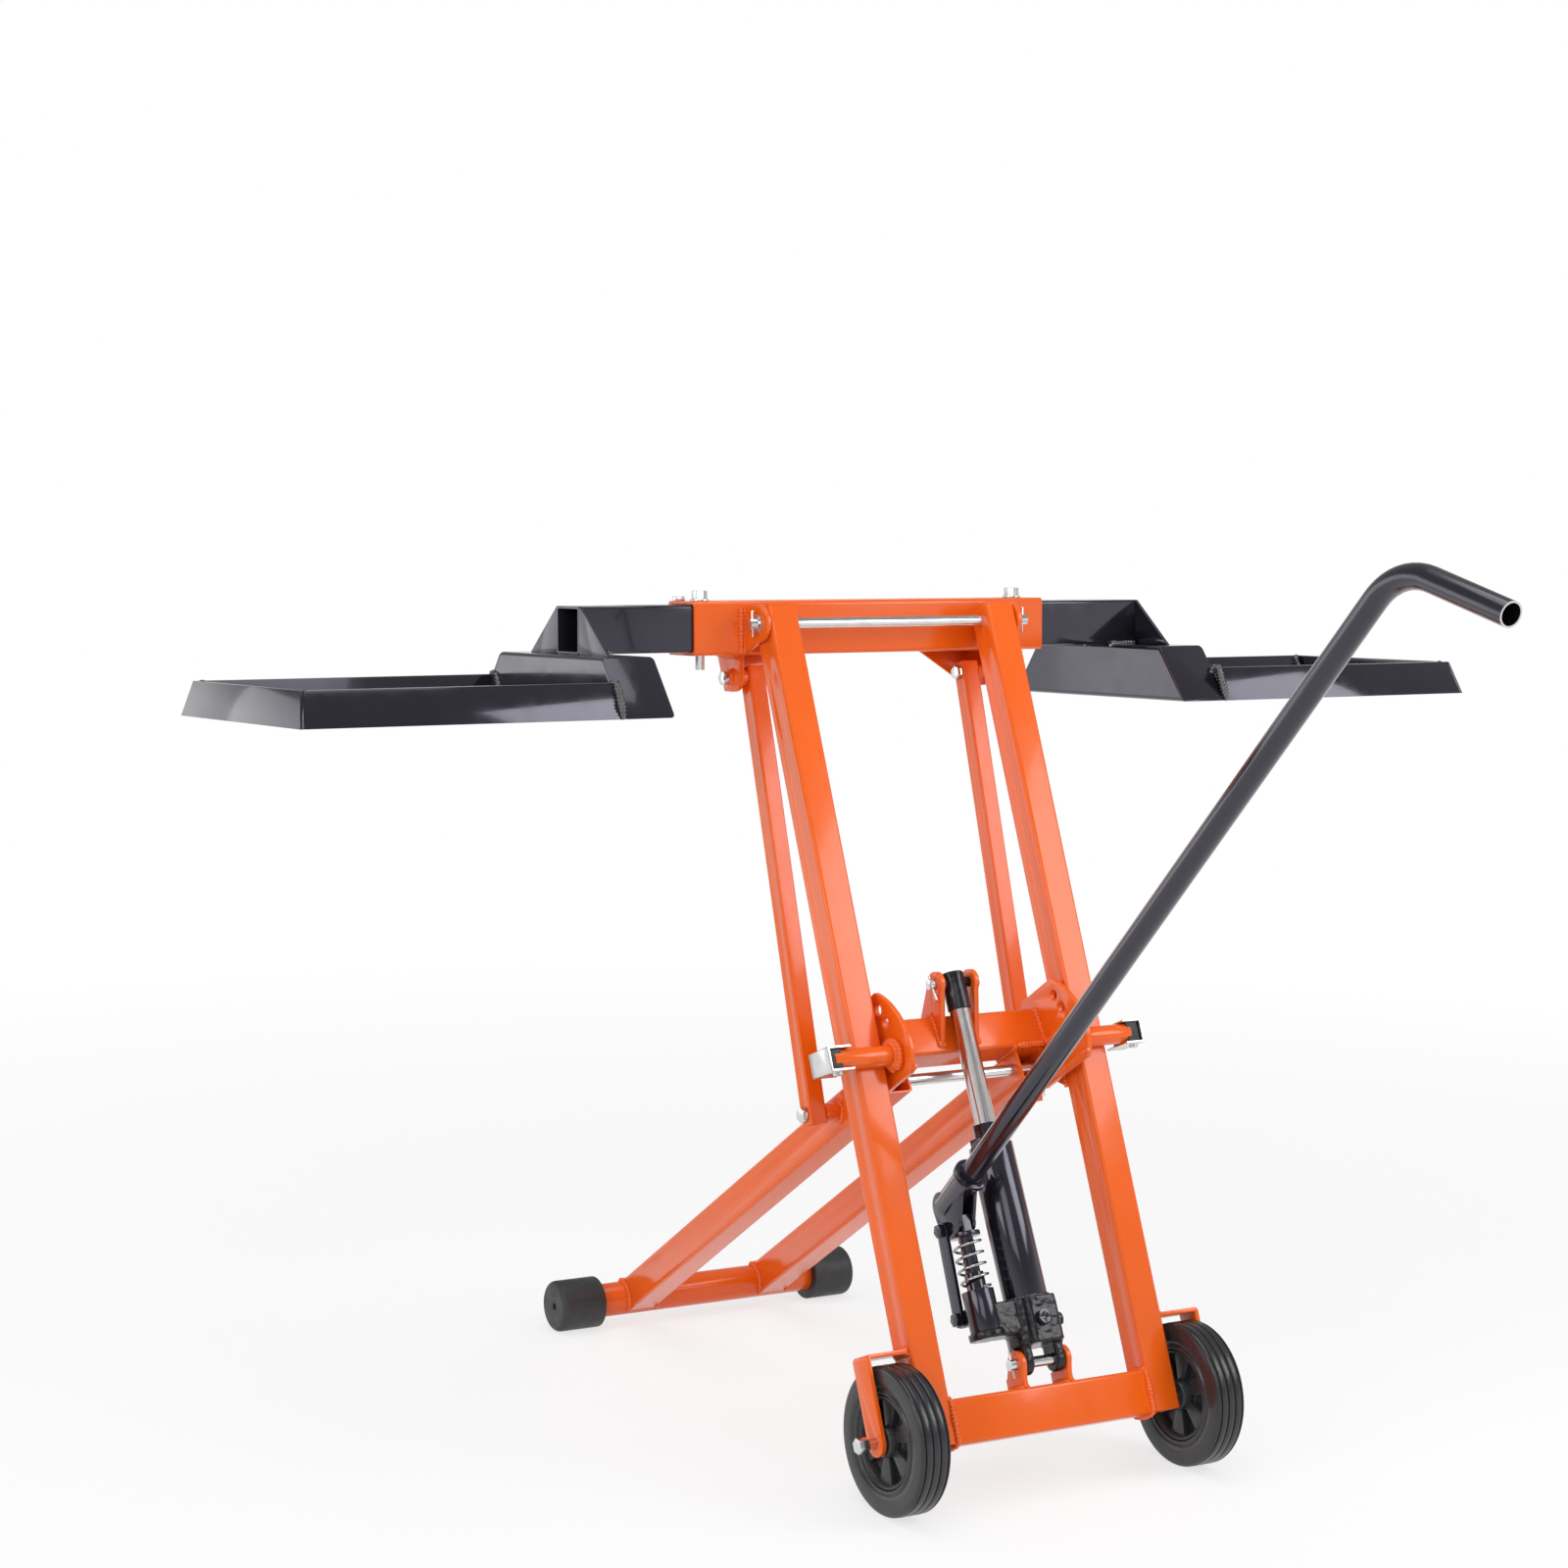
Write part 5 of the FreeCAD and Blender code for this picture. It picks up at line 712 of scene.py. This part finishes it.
def wedge_spokes(axle):
    """Six wedges that widen from the boss to the rim, each a shaped block, on both sides."""
    spokes = []
    for number in range(SPOKES):
        bpy.ops.object.select_all(action="DESELECT")
        bpy.ops.mesh.primitive_cube_add(size=1.0, location=(0.0, 0.0, 0.0))
        spoke = bpy.context.object
        spoke.scale = (HUB_WALL - BOSS + SPOKE_OVERLAP, 2 * SPOKE_FACE, 2 * SPOKE_TIP)
        bpy.ops.object.transform_apply(location=True, rotation=True, scale=True)
        for vertex in spoke.data.vertices:
            if vertex.co.x < 0:
                vertex.co.z *= SPOKE_ROOT / SPOKE_TIP
        spoke.data.transform(Matrix.Translation(((HUB_WALL + BOSS) / 2, 0.0, 0.0)))
        spoke.data.transform(Matrix.Rotation(2 * math.pi * (number + 0.5) / SPOKES, 4, "Y"))
        spoke.data.transform(Matrix.Translation(axle))
        bevel = spoke.modifiers.new("eased", "BEVEL")
        bevel.width = SPOKE_EDGE
        bevel.segments = 3
        bpy.ops.object.modifier_apply(modifier=bevel.name)
        bpy.ops.object.shade_smooth_by_angle(angle=SMOOTH_ANGLE)
        spokes.append(spoke)
    return spokes


for side_name in ("left", "right"):
    axle = pivots[side_name + "_wheel_spin"]
    body = side_name + "_wheel"
    tyre = turned(side_name + "_tyre_rubber", tyre_outline(), axle, 1, TYRE_STEPS)
    tyre.data.materials.append(tyre_rubber)
    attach(tyre, body)
    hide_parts(side_name + "_tyre")
    shell = turned("hub", hub_outline(), axle, 1, HUB_STEPS)
    hub = joined([shell] + wedge_spokes(axle), side_name + "_hub_plastic")
    hub.data.materials.append(hub_plastic)
    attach(hub, body)
    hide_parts(side_name + "_hub")
dressed("wheel_axles", "wheel_axles_zinc", "main_arm", zinc, PIN_EDGE)


# Carrier: a large square tube across the top, hung on the arms' upper rod by two ears and
# steadied by two plates under it for the links. Orange, with zinc rod, bolts and screws.
CARRIER_FRONT = -30.0 * MM
CARRIER_REAR = -92.0 * MM
CARRIER_LOW = -36.6 * MM
CARRIER_TILT = math.radians(3.5)
CARRIER_CORNER = 4.0 * MM
EAR_WELD_LINES = (170.0 * MM, 176.0 * MM, 180.0 * MM)
EAR_WELD_LOW = -34.0 * MM
EAR_WELD_HIGH = 18.0 * MM
EAR_WELD_FRONT = -42.0 * MM
REAR_WELD_ENDS = (104.0 * MM, 168.0 * MM)
LUG_TAPER = 16.0 * MM
LUG_TAPER_FRONT = -75.0 * MM
LUG_TAPER_TOP = -50.0 * MM
LUG_TAPER_HEIGHT = 28.0 * MM
ROD_END = 178.5 * MM
ROD_END_ADD = 8.0 * MM
BOLT_STAND_OFF = 8.0 * MM
BOLT_BOSS_START = -176.0 * MM
BOLT_BOSS_BORE = 3.0 * MM
BOLT_BOSS_RADIUS = 10.4 * MM
BOLT_BOSS_CORNER = 0.8 * MM
BOLT_BOSS_FOOT = 11.6 * MM
BOLT_BOSS_FILLET = 1.6 * MM
carrier_axes = member(pivots["carrier_tilt"], CARRIER_TILT)


def lug_taper(x, y, z):
    """Draws the link plates' rear edge forward, the lower the more."""
    low = max(0.0, min(1.0, (LUG_TAPER_TOP - z) / LUG_TAPER_HEIGHT))
    return x + LUG_TAPER * (x < LUG_TAPER_FRONT) * low, y, z


for node, edge in (
        ("carrier_tube", TUBE_EDGE), ("carrier_ears", PLATE_EDGE), ("link_lugs", PLATE_EDGE)):
    piece = dressed(node, node + "_steel", "carrier", orange_paint, edge)
    if node == "link_lugs":
        reshaped(piece, carrier_axes, lug_taper)
carrier_runs = []
for side in (-1, 1):
    for line in EAR_WELD_LINES:
        y = side * line
        carrier_runs += [
            [(CARRIER_FRONT + MM, y, EAR_WELD_LOW), (CARRIER_FRONT + MM, y, EAR_WELD_HIGH)],
            [(CARRIER_REAR + CARRIER_CORNER, y, CARRIER_LOW), (EAR_WELD_FRONT, y, CARRIER_LOW)]]
    carrier_runs.append([
        (CARRIER_REAR + CARRIER_CORNER, side * end, CARRIER_LOW) for end in REAR_WELD_ENDS])
weld_beads("carrier_welds", "carrier", carrier_axes, carrier_runs, orange_paint)
for node in ("top_rod", "link_upper_bolts", "pan_lock_bolts", "carrier_end_screws"):
    piece = dressed(node, node + "_zinc", "carrier", zinc, PIN_EDGE)
    if node == "top_rod":
        reshaped(piece, carrier_axes, lambda x, y, z: (x, y + ROD_END_ADD * (y > ROD_END), z))
    if node == "link_upper_bolts":
        reshaped(piece, carrier_axes, lambda x, y, z: (x, y - BOLT_STAND_OFF * (y < 0), z))
bolt_low, bolt_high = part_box("link_upper_bolts")
bolt_middle = (bolt_low + bolt_high) / 2
boss = turned("left_bolt_boss", [
    (BOLT_BOSS_BORE, -BOLT_STAND_OFF), (BOLT_BOSS_RADIUS - BOLT_BOSS_CORNER, -BOLT_STAND_OFF),
    (BOLT_BOSS_RADIUS, -BOLT_STAND_OFF + BOLT_BOSS_CORNER), (BOLT_BOSS_RADIUS, -BOLT_BOSS_FILLET),
    (BOLT_BOSS_FOOT, 0.0), (BOLT_BOSS_BORE, 0.0)],
    Vector((bolt_middle.x, BOLT_BOSS_START, bolt_middle.z)), 1, steps=48)
boss.data.materials.append(orange_paint)
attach(boss, "carrier")


# Links: two slim square tubes from the legs up to the carrier's plates keep the carrier level
# while the frame folds. Orange, on zinc bolts.
for side_name in ("left", "right"):
    body = side_name + "_link"
    dressed(body, body + "_steel", body, orange_paint, TUBE_EDGE)
    dressed(body + "_pin", body + "_pin_zinc", body, zinc, PIN_EDGE)


# Tyre pans: each hangs on a square tube that slides in the carrier. A slanted box beam crosses
# it, two bent sheet rails reach out from the beam and an end wall closes them. Gloss black.
BLACK = (0.010, 0.0095, 0.0145, 1.0)
COOL_GLOSS = (0.80, 0.77, 1.0, 1.0)
PAN_BEAD = 9.0 * MM
PAN_MIDDLE = -61.0 * MM
PAN_DROP = -5.6 * MM
PAN_END = 780.5 * MM
PAN_TUBE_HALF = 27.0 * MM
PAN_TUBE_TOP = -27.0 * MM
TUBE_WELD_ENDS = (346.0 * MM, 383.0 * MM)
BOX_LOW = -92.0 * MM
BOX_OUTER = 410.0 * MM
RAIL_TOP = -53.0 * MM
RAIL_WELDS = ((175.0 * MM, 158.0 * MM, 150.0 * MM), (-160.0 * MM, -143.0 * MM, -135.0 * MM))
RAIL_FOOT_SHARE = 0.85
END_FOOT_SHARE = 0.86
END_WELD_INSETS = (12.0 * MM, 4.0 * MM)
black_paint = surface(
    "black_paint", paint_film,
    {"Colour": BLACK, "Drift": 0.25, "Gloss low": 0.1, "Gloss high": 0.2, "Ripple size": 170.0},
    {"Specular IOR Level": 0.6, "Specular Tint": COOL_GLOSS, "Coat Weight": 0.4,
     "Coat Roughness": 0.05},
    bump=0.05, distance=0.0004)
weld_black = surface(
    "weld_black", paint_film,
    {"Colour": BLACK, "Drift": 0.25, "Gloss low": 0.12, "Gloss high": 0.3, "Ripple size": 300.0},
    {"Specular IOR Level": 1.0, "Coat Weight": 1.0, "Coat Roughness": 0.06},
    bump=0.5, distance=0.0012)
pan_axes = carrier_axes @ Matrix.Translation((PAN_MIDDLE, 0.0, PAN_DROP))
for side, side_name in ((-1, "left"), (1, "right")):
    body = side_name + "_pan"
    for part, edge in (
            ("_tube", TUBE_EDGE), ("_box", PLATE_EDGE), ("_rails", PLATE_EDGE),
            ("_end_wall", PLATE_EDGE), ("_gussets", PLATE_EDGE)):
        dressed(body + part, body + part + "_steel", body, black_paint, edge)
    pan_runs = []
    for x in (-PAN_TUBE_HALF, PAN_TUBE_HALF):
        pan_runs.append([(x, side * end, PAN_TUBE_TOP) for end in TUBE_WELD_ENDS])
    for low, high, crown in RAIL_WELDS:
        pan_runs.append([
            (low, side * BOX_OUTER, BOX_LOW), (high, side * BOX_OUTER, RAIL_TOP),
            (crown, side * BOX_OUTER, RAIL_TOP),
            (crown * RAIL_FOOT_SHARE, side * BOX_OUTER, BOX_LOW)])
        pan_runs.append([
            (crown, side * (PAN_END - END_WELD_INSETS[0]), RAIL_TOP),
            (crown * END_FOOT_SHARE, side * (PAN_END - END_WELD_INSETS[1]), BOX_LOW)])
    weld_beads(body + "_welds", body, pan_axes, pan_runs, weld_black, PAN_BEAD)


# Bottle jack: a rough cast base with its release valve and plugs, the oil reservoir, a hexagon
# top nut and gland, all gloss black, and a polished steel ram with a black eye head.
STEEL = (0.60, 0.57, 0.57, 1.0)
STEEL_TINT = (0.50, 0.47, 0.47, 1.0)
VOXEL = 1.5 * MM
LUMP = 1.3 * MM
LUMP_SIZE = 0.011
RESERVOIR_RADIUS = 25.0 * MM
RESERVOIR_FOOT = 68.6 * MM
JACK_BEAD = 5.0 * MM
VALVE_EDGE = 0.2 * MM
VALVE_SLOT_REACH = 7.0 * MM
VALVE_SIDEWAYS = 0.4
RAM_HEAD_BELOW_PIN = 33.0 * MM
cast_black = surface(
    "cast_black", paint_film,
    {"Colour": BLACK, "Drift": 0.3, "Gloss low": 0.16, "Gloss high": 0.34, "Ripple size": 200.0},
    {"Specular IOR Level": 0.28, "Coat Weight": 0.25, "Coat Roughness": 0.08},
    bump=0.4, distance=0.0012)
polished_steel = surface(
    "polished_steel", plated_metal,
    {"Colour": STEEL, "Tint": STEEL_TINT, "Dull low": 0.16, "Dull high": 0.22,
     "Scratch size": 120.0},
    {"Metallic": 1.0}, bump=0.004, distance=0.0001)
jack_up = Vector(joints["ram_slide"]["axis"]).normalized()
jack_axes = member(pivots["jack_lean"], math.atan2(jack_up.z, jack_up.x) - math.pi / 2)


def second_finish(piece, material, picked):
    """Gives a second material to the faces that a test picks."""
    piece.data.materials.append(material)
    for face in piece.data.polygons:
        if picked(face):
            face.material_index = 1
    return piece


base = dressed("jack_base", "jack_base_cast", "jack_body", cast_black, 0.0)
alone(base)
skin = base.modifiers.new("cast_skin", "REMESH")
skin.mode = "VOXEL"
skin.voxel_size = VOXEL
bpy.ops.object.modifier_apply(modifier=skin.name)
flow = base.modifiers.new("flow", "SMOOTH")
flow.factor = 0.5
flow.iterations = 5
bpy.ops.object.modifier_apply(modifier=flow.name)
sand = bpy.data.textures.new("sand_mould", "CLOUDS")
sand.noise_scale = LUMP_SIZE
lumps = base.modifiers.new("lumps", "DISPLACE")
lumps.texture = sand
lumps.strength = LUMP
lumps.mid_level = 0.5
bpy.ops.object.modifier_apply(modifier=lumps.name)
bpy.ops.object.shade_smooth()
for node in ("jack_reservoir", "jack_gland"):
    dressed(node, node + "_steel", "jack_body", black_paint, PIN_EDGE)
dressed("filler_plug", "filler_plug_rubber", "jack_body", cap_rubber, PIN_EDGE)
dressed("jack_pin", "jack_pin_zinc", "main_arm", zinc, PIN_EDGE)
valve_axis = Vector(joints["release_turn"]["axis"]).normalized()


def in_valve_slot(face):
    """Whether a face of the release valve is a side of its screwdriver slot."""
    off = face.center - pivots["release_turn"]
    off -= valve_axis * off.dot(valve_axis)
    return off.length < VALVE_SLOT_REACH and abs(face.normal.dot(valve_axis)) < VALVE_SIDEWAYS


valve = dressed(
    "release_valve", "release_valve_steel", "release_valve", black_paint, VALVE_EDGE)
second_finish(valve, zinc, in_valve_slot)
reservoir_weld = [
    (RESERVOIR_RADIUS * math.cos(math.radians(turn)),
     RESERVOIR_RADIUS * math.sin(math.radians(turn)), RESERVOIR_FOOT)
    for turn in range(0, 361, 10)]
weld_beads(
    "jack_welds", "jack_body", jack_axes, [reservoir_weld], weld_black, JACK_BEAD)
ram = dressed("jack_ram", "jack_ram_steel", "jack_ram", polished_steel, PIN_EDGE)
eye_low, eye_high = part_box("ram_pin_ends")
to_jack = jack_axes.inverted()
head_foot = (to_jack @ eye_low.lerp(eye_high, 0.5)).z - RAM_HEAD_BELOW_PIN - MM
second_finish(ram, cast_black, lambda face: (to_jack @ face.center).z > head_foot)


# Hand pump: a small black cylinder on the casting, its black plunger pushed back up by a coil
# spring of bare, oiled steel, and a black socket lever that rocks on two side links.
PUMP_Y = -60.0 * MM
SPRING_LOW = 87.8 * MM
SPRING_HIGH = 144.2 * MM
SPRING_RADIUS = 15.8 * MM
SPRING_WIRE = 1.6 * MM
SPRING_TURNS = 4.5
STEPS_PER_TURN = 16
SPRING_GREY = (0.48, 0.48, 0.49, 1.0)
SPRING_TINT = (0.36, 0.35, 0.33, 1.0)
spring_steel = surface(
    "spring_steel", plated_metal,
    {"Colour": SPRING_GREY, "Tint": SPRING_TINT, "Dull low": 0.18, "Dull high": 0.34,
     "Scratch size": 500.0},
    {"Metallic": 1.0}, bump=0.06, distance=0.0002)
for node, body in (
        ("pump_cylinder", "jack_body"), ("fulcrum_links", "jack_body"),
        ("pump_plunger", "pump_plunger"), ("handle_socket", "pump_socket")):
    dressed(node, node + "_steel", body, black_paint, PIN_EDGE)
wire = round_line("spring_wire", SPRING_WIRE, 4)
coil = wire.splines.new("NURBS")
steps = int(SPRING_TURNS * STEPS_PER_TURN)
coil.points.add(steps)
for number, point in enumerate(coil.points):
    turn = 2 * math.pi * SPRING_TURNS * number / steps
    height = SPRING_LOW + (SPRING_HIGH - SPRING_LOW) * number / steps
    spot = jack_axes @ Vector((
        SPRING_RADIUS * math.cos(turn), PUMP_Y + SPRING_RADIUS * math.sin(turn), height))
    point.co = (*spot, 1.0)
coil.order_u = 4
coil.use_endpoint_u = True
spring = meshed("pump_spring_wire", wire, spring_steel)
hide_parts("pump_spring")
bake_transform(spring)


# Pump handle: one bent steel tube that lifts out of the socket, gloss black outside, with a
# bare cut edge at its open end.
END_SLOPE = math.radians(-12.5)
END_FACING = 0.97
outwards = Vector((math.cos(END_SLOPE), 0.0, math.sin(END_SLOPE)))
handle = dressed("pump_handle", "pump_handle_steel", "pump_handle", black_paint, 0.0)
second_finish(handle, zinc, lambda face: face.normal.dot(outwards) > END_FACING)


# Studio: a plain pale floor that runs out to pure white, white air with a darker ceiling for
# reflections only, five soft lamps and the camera of the photograph.
FLOOR_HALF = 12.0
FLOOR_PALE = (0.9, 0.9, 0.9, 1.0)
FLOOR_ROUGH = 0.7
FLOOR_SPECULAR = 0.2
FADE_START = 1.3
FADE_END = 3.2
FLOOR_LIFT = 0.72
WHITE = (1.0, 1.0, 1.0, 1.0)
AIR_LEVEL = 0.48
CEILING_LEVEL = 0.35
BAND_LOW = 0.02
BAND_HIGH = 0.3
CAMERA_PLACE = (2.9935, -2.1466, 1.2246)
CAMERA_AZIMUTH = math.radians(58.887)
CAMERA_ELEVATION = math.radians(7.07)
CAMERA_ROLL = math.radians(1.74)
CAMERA_LENS = 78.3
CAMERA_SENSOR = 36.0
bpy.ops.object.select_all(action="DESELECT")
bpy.ops.mesh.primitive_plane_add(size=2 * FLOOR_HALF, location=(0.0, 0.0, 0.0))
floor = bpy.context.object
floor.name = "studio_floor"
floor_material = bpy.data.materials.new("studio_floor")
floor_material.use_nodes = True
tree = floor_material.node_tree
shader = tree.nodes["Principled BSDF"]
shader.inputs["Base Color"].default_value = FLOOR_PALE
shader.inputs["Roughness"].default_value = FLOOR_ROUGH
shader.inputs["Specular IOR Level"].default_value = FLOOR_SPECULAR
place = tree.nodes.new("ShaderNodeTexCoord")
reach = tree.nodes.new("ShaderNodeVectorMath")
reach.operation = "LENGTH"
tree.links.new(place.outputs["Object"], reach.inputs[0])
fade = range_node(
    tree, reach.outputs["Value"], 0.0, 1.0, (-300, -300), start=FADE_START, end=FADE_END)
lift = range_node(tree, fade, FLOOR_LIFT, 1.0, (-100, -300), start=0.0, end=1.0)
rays = tree.nodes.new("ShaderNodeLightPath").outputs
seen = math_node(tree, "MAXIMUM", rays["Is Camera Ray"], rays["Is Glossy Ray"], (-100, -500))
share = math_node(tree, "MULTIPLY", lift, seen, (100, -300))
white = tree.nodes.new("ShaderNodeEmission")
white.inputs["Color"].default_value = WHITE
white.inputs["Strength"].default_value = 1.0
blend = tree.nodes.new("ShaderNodeMixShader")
tree.links.new(share, blend.inputs["Fac"])
tree.links.new(shader.outputs["BSDF"], blend.inputs[1])
tree.links.new(white.outputs["Emission"], blend.inputs[2])
tree.links.new(blend.outputs["Shader"], tree.nodes["Material Output"].inputs["Surface"])
floor.data.materials.append(floor_material)

world = bpy.data.worlds.new("studio_air")
bpy.context.scene.world = world
world.use_nodes = True
tree = world.node_tree
air = tree.nodes["Background"]
air.inputs["Color"].default_value = WHITE
direction = tree.nodes.new("ShaderNodeTexCoord")
parts = tree.nodes.new("ShaderNodeSeparateXYZ")
tree.links.new(direction.outputs["Generated"], parts.inputs[0])
rays = tree.nodes.new("ShaderNodeLightPath").outputs
band = range_node(
    tree, parts.outputs["Z"], 1.0, CEILING_LEVEL, (-500, 0), start=BAND_LOW, end=BAND_HIGH)
glossy = range_node(tree, rays["Is Glossy Ray"], AIR_LEVEL, band, (-300, 0), start=0.0, end=1.0)
level = range_node(tree, rays["Is Camera Ray"], glossy, 1.0, (-100, 0), start=0.0, end=1.0)
tree.links.new(level, air.inputs["Strength"])


def softbox(name, place, aim, width, height, watts):
    """A rectangular lamp at a place, turned towards its aim."""
    lamp = bpy.data.lights.new(name, "AREA")
    lamp.shape = "RECTANGLE"
    lamp.size = width
    lamp.size_y = height
    lamp.energy = watts
    holder = bpy.data.objects.new(name, lamp)
    bpy.context.collection.objects.link(holder)
    holder.location = place
    holder.rotation_euler = (Vector(aim) - Vector(place)).to_track_quat("-Z", "Y").to_euler()
    return holder


for name, place, aim, width, height, watts in (
        ("key_softbox", (1.5, 1.5, 1.85), (-0.1, 0.0, 0.6), 1.3, 1.3, 24.0),
        ("back_left_softbox", (-2.9, -2.5, 0.85), (0.0, -0.3, 0.6), 1.8, 1.6, 9.0),
        ("left_softbox", (0.6, -3.8, 2.2), (0.0, 0.0, 0.5), 2.4, 1.6, 40.0),
        ("front_softbox", (3.4, -2.2, 2.8), (0.0, 0.0, 0.5), 2.0, 2.0, 26.0),
        ("top_softbox", (0.0, -0.4, 4.2), (0.0, 0.0, 0.5), 3.0, 3.0, 55.0)):
    softbox(name, place, aim, width, height, watts)

back = Vector((
    math.sin(CAMERA_AZIMUTH) * math.cos(CAMERA_ELEVATION),
    -math.cos(CAMERA_AZIMUTH) * math.cos(CAMERA_ELEVATION), math.sin(CAMERA_ELEVATION)))
level_right = Vector((math.cos(CAMERA_AZIMUTH), math.sin(CAMERA_AZIMUTH), 0.0))
level_up = back.cross(level_right)
camera_right = level_right * math.cos(CAMERA_ROLL) + level_up * math.sin(CAMERA_ROLL)
camera_up = level_up * math.cos(CAMERA_ROLL) - level_right * math.sin(CAMERA_ROLL)
lens = bpy.data.cameras.new("camera")
lens.lens = CAMERA_LENS
lens.sensor_width = CAMERA_SENSOR
camera = bpy.data.objects.new("camera", lens)
bpy.context.collection.objects.link(camera)
turn = Matrix((camera_right, camera_up, back)).transposed()
camera.matrix_world = Matrix.Translation(CAMERA_PLACE) @ turn.to_4x4()
bpy.context.scene.camera = camera
bpy.context.scene.view_settings.view_transform = "Standard"
